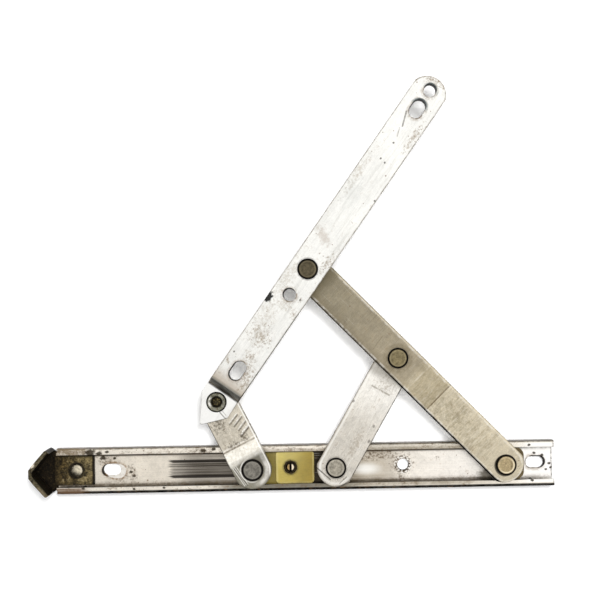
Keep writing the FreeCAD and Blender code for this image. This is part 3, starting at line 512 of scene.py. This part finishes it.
SASH_NEAR_HOLE = (50.7, 0.0)
SASH_NEAR_SLOT = ((13.55, 0.0), (16.45, 0.0))
SASH_FAR_SLOT = ((137.2, 0.0), (139.4, 0.0))
SASH_FAR_HOLE = (146.9, 0.0)
SASH_TIP_CENTRE = (145.4, 0.0)
HOLE_RADIUS = 2.35
SASH_DOTS = ((122.3, 0.2), (114.5, 0.9), (114.0, -1.3), (20.4, 5.4), (51.4, -4.4), (99.5, -6.5))


def sash_tab(s):
    """The tab, made pale by painted light, and painted shade on the joggle that lifts the arm off it."""
    s.mark(s.ramp(s.along, 5.2, 4.6), 0.6, srgb(254, 253, 250))
    rise = s.ramp(s.along, 7.4, 14.5, 1.0, 0.0)
    s.mark(s.both(rise, s.ramp(s.along, 6.8, 7.6)), 0.6, srgb(158, 136, 104))
    s.mark(s.window(s.along, 5.9, 8.0, 1.0), 0.5, srgb(84, 86, 76))
    s.mark(s.window(s.along, 4.9, 5.3, 0.3), 0.55, srgb(170, 150, 118))


def sash_openings(s):
    """Dirty edges round the holes and slots, each with painted shade on one side, and a painted reflection on the
    dents beyond the two at the far end.
    """
    s.opening(SASH_NEAR_HOLE, SASH_NEAR_HOLE, HOLE_RADIUS, 0.75, 6.0, (0.15, 0.4))
    s.opening(*SASH_NEAR_SLOT, 2.45, 0.75, 7.0, (-0.15, 0.25))
    for start, end, radius in ((*SASH_FAR_SLOT, 2.6), (SASH_FAR_HOLE, SASH_FAR_HOLE, HOLE_RADIUS)):
        s.opening(start, end, radius, 0.8, 8.0, (0.65, 0.15))
        # A painted reflection on the dents beyond these openings.
        dent_reflection = s.both(s.window(s.capsule(start, end, radius), 0.3, 1.0, 0.4),
                      s.ramp(s.along, end[0] - 0.6, end[0] + 1.0))
        s.mark(s.broken(dent_reflection, 0.3, 0.3, 2.0), 0.7, srgb(120, 130, 130))


def sash_steel():
    """The sash arm: bright drawn steel, stained and spotted."""
    s = Steel("sash_steel", srgb(241, 240, 235), TAB_PIVOT, direction(TAB_PIVOT, SASH_PIVOT), (0.14, 1.3), 0.06,
              0.12, srgb(120, 112, 96))
    sash_tab(s)
    body = s.capsule(OWN_PIVOT, SASH_TIP_CENTRE, ARM_HALF_WIDTH - 0.1)
    off_tab = s.both(s.math("SUBTRACT", 1.0, s.ramp(s.along, 7.5, 8.5)), 9.0)
    s.edge(s.math("SUBTRACT", body, off_tab), 0.75, 0.55, srgb(104, 92, 72), 3.0)
    s.stains([(44.9, -6.0, 3.0, 1.8, 30), (51.1, -4.6, 1.6, 1.2, 0), (16.6, 6.0, 2.6, 1.5, 40),
              (22.0, -1.0, 5.0, 3.0, 60), (31.0, 0.6, 6.5, 7.0, 0), (151.4, 0.6, 4.0, 9.0, 0),
              (14.8, -4.2, 9.0, 3.4, 10), (69.0, -5.2, 8.0, 2.6, 0), (128.0, -5.0, 10.0, 2.0, 0)],
             0.8, srgb(120, 98, 66), 4.0)
    s.stains([(55.0, 4.6, 14.0, 4.0, 0), (104.0, 5.0, 16.0, 2.4, 0), (46.0, -1.0, 3.0, 8.0, 0),
              (38.0, 3.0, 12.0, 5.0, 0)], 0.4, srgb(140, 122, 92), 9.0)
    # Painted shade along the right edge, and the drawn surface.
    right = s.both(s.ramp(s.across, -6.5, -6.9), s.window(s.along, 5.0, 46.0, 8.0))
    s.mark(s.broken(right, 0.3, 0.45, 4.0), 0.95, srgb(30, 28, 22))
    s.mark(s.broken(s.ramp(s.across, -6.6, -6.95), 0.25, 0.0, 9.0), 0.6, srgb(96, 84, 62))
    s.mark(s.patch((96.5, 2.6), 11.0, 7.0, 20, 0.8, 0.6), 0.14, srgb(140, 150, 148))
    drawn = s.noise(s.stretched(0.05, 0.7, 1.0, (6.0, 2.0, 0.0)), 1.0, 5.0, 0.7)
    s.mark(s.ramp(drawn, 0.5, 0.68), 0.28, srgb(176, 174, 166))
    s.mark(s.patch((77.0, 2.2), 7.0, 3.0, 60, 0.7, 0.6), 0.4, srgb(168, 150, 132))
    dots = s.any_of([s.patch(at, 0.8, 0.7, 0, 0.4, 0.2) for at in SASH_DOTS])
    s.dirt_and_shade(dots, 0.85, srgb(48, 42, 32))
    sash_openings(s)
    # The nick in the left edge, and scratches by the far slot and on the tab.
    nick = s.both(s.patch((45.6, 7.4), 4.4, 5.2, -12, 0.12, 0.2), s.ramp(s.across, 4.6, 5.2))
    s.dirt_and_shade(nick, 0.97, SOOT)
    s.dirt_and_shade(s.stroke((129.6, 1.0), (135.2, 3.0), 0.6), 0.75, srgb(60, 54, 42))
    s.dirt_and_shade(s.stroke((125.0, 0.4), (128.4, 1.6), 0.5, 0.9), 0.6, srgb(90, 82, 66))
    s.dirt_and_shade(s.stroke((-2.6, -3.4), (-3.4, -6.6), 0.45), 0.75, srgb(60, 52, 40))
    s.dirt_and_shade(s.stroke((-1.4, -3.2), (-2.2, -6.0), 0.4), 0.4, srgb(90, 80, 62))
    s.groove((distance(TAB_PIVOT, SASH_PIVOT), 0.0), HEAD_GAP_RADIUS, top_of("sash_arm"))
    return s.done(0.3, 0.44)


def long_arm_steel():
    """The long arm: brown-grey steel, paler from its bend to its foot."""
    length = distance(TRACK_PIVOT, SASH_PIVOT)
    link_at = (distance(TRACK_PIVOT, LINK_PIVOT), 0.0)
    crease, bend_end = 37.5, 49.0

    def tone(f):
        upper = f.mix(f.ramp(f.along, 56.0, 98.0), srgb(168, 157, 135), srgb(148, 139, 118))
        # The slope of the bend is paler: painted light.
        lit_slope = f.ramp(f.along, bend_end - 2.0, bend_end + 5.0, 1.0, 0.0)
        body = f.mix(lit_slope, upper, srgb(184, 172, 145))
        return f.mix(f.ramp(f.along, crease - 0.2, crease + 0.2, 1.0, 0.0), body, srgb(203, 192, 168))

    s = Steel("long_arm_steel", tone, TRACK_PIVOT, direction(TRACK_PIVOT, SASH_PIVOT), (2.0, 0.07), 0.12, 0.08,
              srgb(104, 92, 68), 0.1)
    # Smudges and brushing on the lower half.
    smudge = s.noise(s.stretched(1.4, 0.8, 1.0), 0.22, 8.0, 0.78)
    foot = s.ramp(s.along, 4.0, 12.0)
    low_half = s.both(foot, s.ramp(s.along, 34.0, 60.0, 1.0, 0.2))
    s.mark(s.both(low_half, s.ramp(smudge, 0.5, 0.62)), 0.4, srgb(126, 114, 88))
    s.mark(s.both(low_half, s.ramp(smudge, 0.34, 0.46, 1.0, 0.0)), 0.35, srgb(232, 224, 206))
    brushed = s.noise(s.stretched(1.6, 0.22, 1.0, (3.0, 7.0, 0.0), 0.5), 1.0, 6.0, 0.75)
    s.mark(s.both(low_half, s.ramp(brushed, 0.52, 0.66)), 0.45, srgb(134, 120, 90))
    s.mark(s.both(low_half, s.ramp(brushed, 0.34, 0.46, 1.0, 0.0)), 0.35, srgb(238, 232, 218))
    s.dirt_and_shade(s.broken(s.patch((30.0, 2.4), 17.0, 10.0, 12, 0.8, 0.7), 1.0, 0.0, 6.0), 0.4, srgb(104, 96, 72))
    # Painted shade in the crease, a painted highlight at the other end of its bend, and a scratch.
    s.mark(s.broken(s.window(s.along, crease - 0.1, crease + 0.35, 0.3), 0.6, 0.6), 0.85, srgb(84, 68, 44))
    s.mark(s.broken(s.window(s.along, bend_end - 0.3, bend_end + 0.3, 0.5), 0.4, 0.2), 0.45, srgb(226, 218, 200))
    s.mark(s.stroke((69.4, 4.2), (70.4, -2.0), 0.4), 0.35, srgb(96, 86, 66))
    # Painted light along one long edge, and painted shade along the other and over the upper arm beside it.
    outline = s.capsule(OWN_PIVOT, (length, 0.0), ARM_HALF_WIDTH)
    lit = s.ramp(s.across, -5.8, -6.4)
    s.mark(s.both(s.window(outline, -0.8, -0.4, 0.3), lit), 0.6, srgb(226, 212, 182))
    shaded = s.ramp(s.across, 5.8, 6.6)
    s.mark(s.both(s.ramp(outline, -0.95, -0.5), shaded), 1.0, SOOT)
    s.mark(s.both(s.ramp(s.across, 2.0, 7.0), s.ramp(s.along, 48.0, 66.0)), 0.35, srgb(104, 92, 70))
    # Soot round the two rivet heads with painted shade on one side of the one at the track pivot, a rubbed pale
    # rim, and painted shade of the sash arm.
    ring = s.circle(link_at, HEAD_GAP_RADIUS)
    s.mark(s.broken(s.window(ring, 0.0, 1.6, 1.2), 0.5, 0.4), 0.35, srgb(96, 84, 56))
    s.groove(link_at, HEAD_GAP_RADIUS, top_of("long_arm"))
    s.dirt_and_shade(s.window(s.circle(OWN_PIVOT, HEAD_RADIUS), -0.4, 0.5, 0.2), 0.95, SOOT)
    s.mark(s.window(s.circle((0.1, 0.45), HEAD_RADIUS), -0.4, 0.6, 0.4), 0.85, SOOT)
    s.mark(s.broken(s.window(outline, -1.2, -0.5, 0.4), 0.4, 0.1, 3.0), 0.4, PALE)
    s.mark(s.ramp(s.along, length - 12.7, length - 7.5), 0.65, srgb(92, 84, 64))
    return s.done()


def link_steel():
    """The mid link: pale steel with fine scratches both ways."""
    def tone(f):
        return f.mix(f.window(f.along, 26.0, 46.0, 18.0), srgb(214, 208, 197), srgb(238, 234, 226))

    reach = distance(SLIDER_PIVOT, LINK_PIVOT)
    s = Steel("link_steel", tone, SLIDER_PIVOT, direction(SLIDER_PIVOT, LINK_PIVOT), (0.5, 1.5), 0.11,
              0.12, srgb(120, 112, 98), 0.5)
    cross = s.noise(s.stretched(0.12, 3.2, 1.0, (5.0, 9.0, 0.0), 1.35), 1.0, 3.0, 0.6)
    s.mark(s.ramp(cross, 0.58, 0.7), 0.3, srgb(140, 130, 114))
    lengthwise = s.noise(s.stretched(0.1, 2.8, 1.0, (2.0, 4.0, 0.0), 0.12), 1.0, 3.0, 0.6)
    s.mark(s.ramp(lengthwise, 0.56, 0.7), 0.35, PALE)
    # Its edges: a dirty line all round, painted shade on the right, and painted highlights on the left and round
    # the foot.
    outline = s.capsule(OWN_PIVOT, (reach, 0.0), ARM_HALF_WIDTH + 0.1)
    s.edge(outline, 0.6, 0.5, srgb(110, 100, 84), 5.0)
    right = s.both(s.ramp(outline, -0.5, -0.2), s.ramp(s.across, -3.0, -6.0))
    s.mark(s.broken(right, 0.3, 0.35), 0.9, srgb(48, 42, 34))
    bright = s.both(s.window(outline, -1.3, -0.6, 0.4), s.ramp(s.across, 4.0, 5.5))
    s.mark(bright, 0.6, PALE)
    lowest = s.both(s.window(outline, -1.6, -0.7, 0.6), s.ramp(s.along, 1.0, -2.0))
    s.mark(lowest, 0.5, PALE)
    # Spots, scratches, stains, and painted shade of the long arm.
    dots = s.any_of([s.patch(at, 1.3, 1.0, 0, 0.4, 0.2) for at in ((26.4, 6.8), (15.5, -6.2), (21.6, -5.0))])
    s.dirt_and_shade(dots, 0.6, srgb(56, 48, 38))
    s.dirt_and_shade(s.stroke((35.2, 3.3), (35.2, -4.3), 0.6, 0.6), 0.7, srgb(104, 92, 72))
    s.dirt_and_shade(s.stroke((-3.5, 7.0), (-5.0, -0.2), 0.5, 0.2), 0.85, srgb(48, 42, 34))
    s.dirt_and_shade(s.stroke((-1.0, -5.4), (-4.6, -4.2), 0.4, 0.5), 0.6, srgb(70, 60, 46))
    s.stains([(38.0, -1.0, 5.0, 6.0, 0), (12.0, -2.0, 10.0, 3.0, 0)], 0.5, srgb(120, 104, 80), 3.0)
    s.mark(s.ramp(s.along, reach - 11.5, reach - 8.0), 0.5, srgb(96, 88, 72))
    s.groove((0.0, 0.0), HEAD_GAP_RADIUS, top_of("mid_link"))
    return s.done()


def crank_steel():
    """The crank: grey at its raised foot, warm and pitted beyond the bend."""
    def tone(f):
        return f.mix(f.ramp(f.along, 4.0, 10.8), srgb(150, 146, 132), srgb(218, 210, 194))

    s = Steel("crank_steel", tone, CRANK_PIVOT, direction(CRANK_PIVOT, TAB_PIVOT), (0.35, 1.6), 0.11, 0.12,
              srgb(140, 133, 120))
    # The bend: a pale band of painted reflection with some dirt on it, painted shade in the crease at its end, and
    # a painted highlight beyond.
    band = s.window(s.along, 4.4, 10.5, 1.4)
    s.mark(s.broken(band, 0.5, 0.75, 2.0), 0.9, srgb(250, 247, 238))
    s.dirt_and_shade(s.broken(band, 0.9, 0.0, 8.0), 0.25, srgb(158, 142, 112))
    s.dirt_and_shade(s.broken(s.window(s.along, 10.4, 11.0, 0.4), 0.6, 0.5, 3.0), 0.7, srgb(88, 74, 56))
    s.mark(s.window(s.along, 11.2, 11.8, 0.4), 0.4, PALE)
    # Five raised marks, each drawn as a stroke of painted shade beside one of painted highlight.
    for x, y in ((20.9, -2.6), (19.4, -3.8), (17.2, -4.6), (15.6, -5.6), (14.6, -4.4)):
        s.dirt_and_shade(s.stroke((x - 1.1, y + 2.3), (x + 0.9, y - 1.9), 0.75, 0.5), 0.9, srgb(70, 60, 46))
        s.mark(s.stroke((x - 0.5, y + 2.2), (x + 1.5, y - 2.0), 0.5, 0.5), 0.8, PALE)
    s.stains([(13.0, -3.0, 3.4, 3.0, 0), (11.8, 2.6, 2.2, 5.0, 0), (22.0, 4.0, 6.0, 5.0, 0)], 0.85,
             srgb(66, 56, 42), 2.0)
    s.stains([(17.0, 0.5, 12.0, 13.0, 0)], 0.35, srgb(110, 98, 76), 6.0)
    # Dirty edges, and painted highlights just inside them.
    outline = s.capsule(OWN_PIVOT, (distance(CRANK_PIVOT, TAB_PIVOT), 0.0), ARM_HALF_WIDTH + 0.3)
    s.edge(outline, 0.85, 0.5, srgb(60, 52, 40), 8.0)
    foot = s.ramp(s.along, 6.0, 2.0, 0.0, 1.0)
    inner = s.both(s.window(outline, -2.4, -0.9, 1.0), s.ramp(s.across, 3.0, -2.0))
    s.mark(s.broken(s.both(inner, foot), 0.4, 0.55, 5.0), 0.8, srgb(240, 236, 228))
    right_edge = s.both(s.window(outline, -0.9, -0.35, 0.3), s.ramp(s.across, -4.5, -6.0))
    s.mark(right_edge, 0.9, PALE)
    # Painted shade before the bend, scratches on the foot, and a painted glint beside the rivet.
    shadow = s.both(s.window(s.along, 0.5, 5.2, 2.6), s.window(s.across, -6.6, 4.0, 2.0))
    s.mark(shadow, 0.4, srgb(84, 80, 72))
    for y in (5.0, 5.8, 6.5):
        s.mark(s.stroke((-4.0, y - 1.0), (4.2, y), 0.35, 0.5), 0.75, PALE)
    s.mark(s.stroke((-4.4, 4.4), (3.6, 6.1), 0.4, 0.3), 0.6, SHEARED)
    glint = s.window(s.circle(OWN_PIVOT, CRANK_HEAD_GAP_RADIUS), 0.0, 0.5, 0.25)
    s.mark(s.both(glint, s.ramp(s.across, -1.0, 2.5)), 0.75, PALE)
    s.groove((0.0, 0.0), CRANK_HEAD_GAP_RADIUS, top_of("slider_crank_rivet"))
    return s.done()


def plain_steel(name, tone, at):
    """Turned or cropped steel that shows only in gaps."""
    return Steel(name, tone, at, grain=(1.2, 1.2), uneven=0.12).done()


def rivet(name, at, face, rim, head_radius, proud=False):
    """A pressed rivet head: blotched face, burnished rim, black at its edge. A proud one has a painted highlight on
    one side of its rim.
    """
    s = Finish(name, at)
    outline = s.circle(OWN_PIVOT, head_radius)
    clouds = s.noise(s.point, 0.5, 7.0, 0.75, 0.5)
    colour = s.shade(face, clouds, 0.68, 1.28)
    pits = s.noise(s.point, 1.8, 5.0, 0.7)
    colour = s.shade(colour, pits, 0.82, 1.16)
    # On a plain head the rim is burnished in patches; on a proud one it is a painted highlight on one side.
    lit = s.ramp(s.noise(s.point, 0.22, 2.0), 0.4, 0.6, 0.35, 1.0)
    if proud:
        lit = s.ramp(s.math("SUBTRACT", s.along, s.across), -2.5, 3.0, 0.15, 1.0)
    ring = s.window(outline, -0.95, -0.4, 0.4)
    colour = s.over(colour, s.both(ring, lit), 0.9 if proud else 0.25, rim)
    colour = s.over(colour, s.broken(s.window(outline, -1.8, -0.95, 0.6), 0.3, 0.0), 0.3, SOOT)
    colour = s.over(colour, s.ramp(outline, -0.5, -0.2), 0.95, SOOT)
    normal = s.bump(pits, 0.03, s.bump(clouds, 0.07))
    return s.finish(colour, s.ramp(clouds, 0.35, 0.65, 0.32, 0.5), normal)


def screw_steel():
    """The tab's pivot screw: a pitted head with a dark socket, and a painted glint on one side."""
    s = Finish("screw_steel", TAB_PIVOT)
    clouds = s.noise(s.point, 0.7, 7.0, 0.75, 0.4)
    colour = s.shade(srgb(140, 139, 122), clouds, 0.35, 1.4)
    colour = s.over(colour, s.ramp(s.noise(s.point, 1.3, 5.0, 0.7), 0.5, 0.64), 0.7, srgb(96, 80, 52))
    top = top_of("tab_pivot_screw")
    colour = s.over(colour, s.ramp(s.height, top - 0.5, top - 0.1, 1.0, 0.0), 0.9, srgb(40, 34, 20))
    colour = s.over(colour, s.crevice(0.0015), 0.85, SOOT)
    outline = s.circle(OWN_PIVOT, SCREW_HEAD_RADIUS)
    # Painted glints on one side of the head, broken up in patches.
    lit = s.ramp(s.math("SUBTRACT", s.across, s.along), -2.5, 2.5, 0.15, 1.0)
    painted_sheen = s.ramp(s.noise(s.point, 0.55, 3.0, 0.6), 0.46, 0.6)
    glints = s.both(s.window(outline, -1.7, -0.8, 0.5), s.both(lit, painted_sheen))
    colour = s.over(colour, glints, 0.85, PALE)
    inside = s.both(s.ramp(outline, -2.2, -2.6), s.ramp(s.noise(s.point, 1.6, 3.0, 0.6), 0.52, 0.64))
    colour = s.over(colour, inside, 0.6, srgb(150, 132, 84))
    colour = s.over(colour, s.ramp(outline, -0.75, -0.3), 1.0, SOOT)
    return s.finish(colour, s.ramp(clouds, 0.35, 0.65, 0.25, 0.5), s.bump(clouds, 0.2))


def brass():
    """The adjusting screw: brass, paler on one side of its slot as a painted highlight, with painted shade in its
    slot and round its edge.
    """
    s = Finish("screw_brass", SCREW_AT)
    clouds = s.noise(s.point, 1.1, 5.0, 0.6)
    painted_sheen = s.mix(s.ramp(s.along, -0.8, 0.8), srgb(176, 146, 96), srgb(250, 234, 204))
    colour = s.shade(painted_sheen, clouds, 0.75, 1.15)
    colour = s.over(colour, s.ramp(s.circle(OWN_PIVOT, 1.85), -0.8, -0.3), 1.0, SOOT)
    colour = s.over(colour, s.ramp(s.math("ABSOLUTE", s.along), 0.35, 0.6, 1.0, 0.0), 1.0, SOOT)
    return s.finish(colour, s.ramp(clouds, 0.35, 0.65, 0.14, 0.26), s.bump(clouds, 0.02))


def insert_steel():
    """The threaded ring, dark down in its well."""
    s = Finish("insert_steel", SCREW_AT)
    clouds = s.noise(s.point, 1.0, 5.0, 0.6)
    colour = s.shade(srgb(58, 50, 36), clouds, 0.5, 1.3)
    colour = s.over(colour, s.crevice(0.001), 0.9, SOOT)
    return s.finish(colour, 0.4, s.bump(clouds, 0.03))


def nylon():
    """The aged nylon of the shoe: yellow and a little translucent, paler to the left and top and along its raised
    edges, darker on its lower step, all painted light and shade.
    """
    s = Finish("nylon")
    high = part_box("slider_block")[1]
    clouds = s.noise(s.point, 0.14, 5.0, 0.6)
    # Paler at the left end, darker towards the right: painted light.
    base = s.mix(s.ramp(s.along, -11.0, 3.0), srgb(172, 155, 76), srgb(132, 114, 46))
    colour = s.shade(base, clouds, 0.88, 1.1)
    grain = s.noise(s.stretched(0.5, 2.0), 1.0, 6.0, 0.7)
    colour = s.shade(colour, grain, 0.94, 1.05)
    raised = s.ramp(s.height, 3.2, 3.5)
    # Paler towards the top and the left: painted light.
    north = s.both(s.ramp(s.across, -2.0, 6.0), s.ramp(s.along, 3.0, -8.0))
    colour = s.over(colour, north, 0.4, srgb(188, 176, 112))
    # The lower step is darker: painted shade.
    colour = s.over(colour, s.math("SUBTRACT", 1.0, raised), 0.72, srgb(70, 58, 4))
    # Paler along the raised edges and the step: painted highlight.
    side = s.ramp(s.math("ABSOLUTE", s.across), high.y / MM - 1.1, high.y / MM - 0.3)
    end = s.ramp(s.along, high.x / MM - 1.1, high.x / MM - 0.3)
    step = s.window(s.along, -11.6, -10.8, 0.5)
    painted_sheen = s.both(s.any_of([side, end, step]), raised)
    colour = s.over(colour, painted_sheen, 0.55, srgb(186, 172, 112))
    well = s.circle((SCREW_AT.x / MM, 0.0), 2.6)
    colour = s.over(colour, s.broken(s.ramp(well, 1.0, 0.1), 0.8, 0.5), 0.8, srgb(40, 34, 14))
    grime = s.both(s.broken(s.math("MAXIMUM", side, end), 0.35, 0.0, 4.0), raised)
    colour = s.over(colour, grime, 0.35, srgb(70, 60, 30))
    return s.finish(colour, s.ramp(clouds, 0.35, 0.65, 0.3, 0.42), s.bump(grain, 0.015, s.bump(clouds, 0.05)), 0.0,
                    Subsurface_Weight=0.12, Subsurface_Radius=(0.0012, 0.0010, 0.0004), Subsurface_Scale=1.0,
                    Specular_IOR_Level=0.3)


def dark_nylon(name, tone):
    """Plain nylon that shows only in gaps."""
    s = Finish(name)
    clouds = s.noise(s.point, 0.8, 5.0, 0.6)
    return s.finish(s.shade(tone, clouds, 0.75, 1.2), 0.5, s.bump(clouds, 0.02), 0.0)


def cap_plastic():
    """The nose: nearly black, greasy, caked with grit, rubbed to olive grey along its ridge and on the tongue, with
    painted highlights on the ridge.
    """
    s = Finish("cap_plastic")
    caked = s.noise(s.point, 0.4, 8.0, 0.78, 0.6)
    grit = s.noise(s.point, 1.6, 6.0, 0.75)
    base = s.mix(s.ramp(s.along, -101.0, -95.5), srgb(15, 11, 6), srgb(54, 44, 24))
    base = s.mix(s.ramp(s.along, -97.0, -87.0), base, srgb(80, 70, 46))
    colour = s.shade(base, caked, 0.05, 2.3)
    colour = s.shade(colour, grit, 0.4, 1.7)
    swirl = s.noise(s.stretched(0.5, 0.4, 1.0, (4.0, 0.0, 0.0), 0.7), 1.0, 8.0, 0.78, 1.4)
    on_tongue = s.window(s.along, -97.5, -85.2, 3.0)
    colour = s.over(colour, s.both(s.ramp(swirl, 0.52, 0.66), on_tongue), 0.65, srgb(158, 142, 106))
    colour = s.over(colour, s.both(s.ramp(swirl, 0.36, 0.46, 1.0, 0.0), on_tongue), 0.8, srgb(26, 20, 8))
    top = top_of("end_cap")
    ridge = s.ramp(s.height, top - 0.9, top - 0.1)
    colour = s.over(colour, s.broken(ridge, 0.35, 0.0, 3.0), 0.75, srgb(66, 58, 38))
    # Fine painted glints along the ridge.
    colour = s.over(colour, s.broken(ridge, 1.5, 0.0, 9.0), 0.6, srgb(112, 104, 82))
    # Painted highlights at the apex and along the lower rim.
    apex_highlight = s.both(s.patch((-106.6, 3.4), 2.0, 1.2, 45, 0.5, 0.4), ridge)
    colour = s.over(colour, apex_highlight, 0.9, srgb(216, 206, 186))
    rim_highlight = s.both(s.patch((-103.0, -7.0), 5.0, 1.0, -52, 0.5, 0.4), ridge)
    colour = s.over(colour, rim_highlight, 0.4, srgb(132, 118, 94))
    colour = s.over(colour, s.crevice(0.0016), 0.85, srgb(4, 3, 2))
    colour = s.over(colour, s.ramp(s.along, -85.0, -84.4), 0.95, SOOT)
    side = s.ramp(s.math("ABSOLUTE", s.across), 4.4, 5.8)
    colour = s.over(colour, s.both(side, s.ramp(s.along, -98.0, -97.0)), 0.5, SOOT)
    colour = s.over(colour, s.ramp(grit, 0.54, 0.68), 0.35, srgb(92, 78, 50))
    ring = s.ramp(s.circle(CAP_RIVET_AT, CAP_RIVET_RADIUS), 0.6, 1.0, 1.0, 0.0)
    colour = s.over(colour, s.broken(ring, 0.4, 0.6), 0.95, SOOT)
    return s.finish(colour, s.ramp(caked, 0.35, 0.65, 0.4, 0.7), s.bump(grit, 0.12, s.bump(caked, 0.4)), 0.0,
                    Specular_IOR_Level=0.1)


MATERIALS = {
    "track": track_steel(),
    "end_cap": cap_plastic(),
    "end_cap_rivet": rivet("cap_rivet_steel", centre_of("end_cap_rivet"), srgb(214, 204, 180),
                           srgb(222, 214, 196), CAP_RIVET_RADIUS),
    "pivot_block": plain_steel("block_steel", srgb(104, 92, 68), TRACK_PIVOT),
    "track_washer": plain_steel("washer_steel_low", srgb(110, 102, 88), TRACK_PIVOT),
    "track_pivot_rivet": rivet("rivet_tan", TRACK_PIVOT, srgb(178, 160, 124), srgb(240, 226, 194), HEAD_RADIUS,
                               proud=True),
    "long_arm": long_arm_steel(),
    "link_pivot_rivet": rivet("rivet_dark_low", LINK_PIVOT, srgb(134, 122, 92), srgb(176, 164, 134), HEAD_RADIUS),
    "link_washer": plain_steel("washer_steel_middle", srgb(120, 112, 98), LINK_PIVOT),
    "sash_pivot_rivet": rivet("rivet_dark_high", SASH_PIVOT, srgb(94, 86, 68), srgb(150, 140, 114), HEAD_RADIUS),
    "sash_washer": plain_steel("washer_steel_high", srgb(120, 112, 98), SASH_PIVOT),
    "mid_link": link_steel(),
    "slider_plate": plain_steel("plate_steel", srgb(60, 54, 44), SLIDER_PIVOT),
    "slider_block": nylon(),
    "friction_pad": dark_nylon("pad_nylon", srgb(74, 66, 44)),
    "screw_insert": insert_steel(),
    "friction_screw": brass(),
    "link_spacer": plain_steel("spacer_steel_link", srgb(90, 82, 70), SLIDER_PIVOT),
    "slider_link_rivet": rivet("rivet_grey", SLIDER_PIVOT, srgb(172, 165, 150), srgb(204, 198, 186), HEAD_RADIUS),
    "crank_spacer": plain_steel("spacer_steel_crank", srgb(90, 82, 70), CRANK_PIVOT),
    "slider_crank_rivet": rivet("rivet_grey_dark", CRANK_PIVOT, srgb(134, 130, 121), srgb(156, 152, 142),
                                CRANK_HEAD_RADIUS),
    "crank_arm": crank_steel(),
    "tab_washer": dark_nylon("washer_nylon", srgb(150, 144, 126)),
    "tab_pivot_screw": screw_steel(),
    "sash_arm": sash_steel(),
}
for node, material in MATERIALS.items():
    mesh_object = frame["nodes"][node]
    mesh_object.data.materials.clear()
    mesh_object.data.materials.append(material)

# ---------------------------------------------------------------- studio

CENTRE = (CAD_BOX[0] + CAD_BOX[1]) / 2
LIGHT_HEADING = math.radians(57.0)
TABLE_SIZE = 6.0
TABLE_DROP = 0.0002
TABLE_GLOW = 0.15
CAMERA_AT = (-0.00087, 0.0663, 0.4203)
CAMERA_TURN = math.radians(-1.04)
CAMERA_FIELD = math.radians(31.9)


def floor():
    """A plain white table, just under the object. It glows a little, which keeps the shadows pale."""
    bpy.ops.mesh.primitive_plane_add(size=TABLE_SIZE, location=(CENTRE.x, CENTRE.y, -TABLE_DROP))
    table = bpy.context.object
    table.name = "table"
    f = Finish("table_white")
    paper = f.noise(f.point, 0.4, 3.0)
    colour = f.shade((0.88, 0.88, 0.88, 1.0), paper, 0.995, 1.005)
    table.data.materials.append(f.finish(colour, 0.8, None, 0.0, Emission_Color=(1.0, 1.0, 1.0, 1.0),
                                         Emission_Strength=TABLE_GLOW))


def softbox(name, lean, away, size, power):
    """A round soft light, leaning from straight overhead by lean degrees towards the light's heading."""
    data = bpy.data.lights.new(name, "AREA")
    data.shape = "DISK"
    data.size = size
    data.energy = power
    lamp = bpy.data.objects.new(name, data)
    bpy.context.scene.collection.objects.link(lamp)
    tilt = math.radians(lean)
    out = math.sin(tilt)
    toward = Vector((math.cos(LIGHT_HEADING) * out, math.sin(LIGHT_HEADING) * out, math.cos(tilt)))
    lamp.location = CENTRE + toward * away
    lamp.rotation_euler = toward.to_track_quat("Z", "Y").to_euler()
    lamp.visible_glossy = False


def sky():
    """What the metal mirrors: bright overhead and towards the light's heading, dark towards the other horizon.

    It lights nothing else, and the camera sees a plain pale backdrop in its place.
    """
    world = bpy.data.worlds.new("studio")
    bpy.context.scene.world = world
    world.use_nodes = True
    world.cycles_visibility.diffuse = False
    nodes, links = world.node_tree.nodes, world.node_tree.links
    texture = nodes.new("ShaderNodeTexCoord")
    toward = nodes.new("ShaderNodeVectorMath")
    toward.operation = "DOT_PRODUCT"
    toward.inputs[1].default_value = (math.cos(LIGHT_HEADING), math.sin(LIGHT_HEADING), 0.0)
    links.new(texture.outputs["Generated"], toward.inputs[0])
    level = nodes.new("ShaderNodeMapRange")
    level.interpolation_type = "SMOOTHSTEP"
    links.new(toward.outputs["Value"], level.inputs["Value"])
    for name, value in (("From Min", -0.95), ("From Max", 0.15), ("To Min", 0.02), ("To Max", 1.3)):
        level.inputs[name].default_value = value
    links.new(level.outputs["Result"], nodes["Background"].inputs["Strength"])
    nodes["Background"].inputs["Color"].default_value = (1.0, 1.0, 1.0, 1.0)
    backdrop = nodes.new("ShaderNodeBackground")
    backdrop.inputs["Color"].default_value = (0.9, 0.9, 0.9, 1.0)
    path = nodes.new("ShaderNodeLightPath")
    either = nodes.new("ShaderNodeMixShader")
    links.new(path.outputs["Is Camera Ray"], either.inputs[0])
    links.new(nodes["Background"].outputs[0], either.inputs[1])
    links.new(backdrop.outputs[0], either.inputs[2])
    links.new(either.outputs[0], nodes["World Output"].inputs["Surface"])


def camera():
    """Straight above the table, as a product shot, turned by a degree."""
    data = bpy.data.cameras.new("camera")
    data.sensor_width = 36.0
    data.angle = CAMERA_FIELD
    data.clip_start = 0.01
    cam = bpy.data.objects.new("camera", data)
    bpy.context.scene.collection.objects.link(cam)
    cam.location = CAMERA_AT
    cam.rotation_euler = (0.0, 0.0, CAMERA_TURN)
    bpy.context.scene.camera = cam


floor()
sky()
softbox("key", lean=22.0, away=1.0, size=0.34, power=6.5)
softbox("fill", lean=0.0, away=1.2, size=1.6, power=16.0)
camera()
bpy.context.scene.view_settings.view_transform = "Standard"
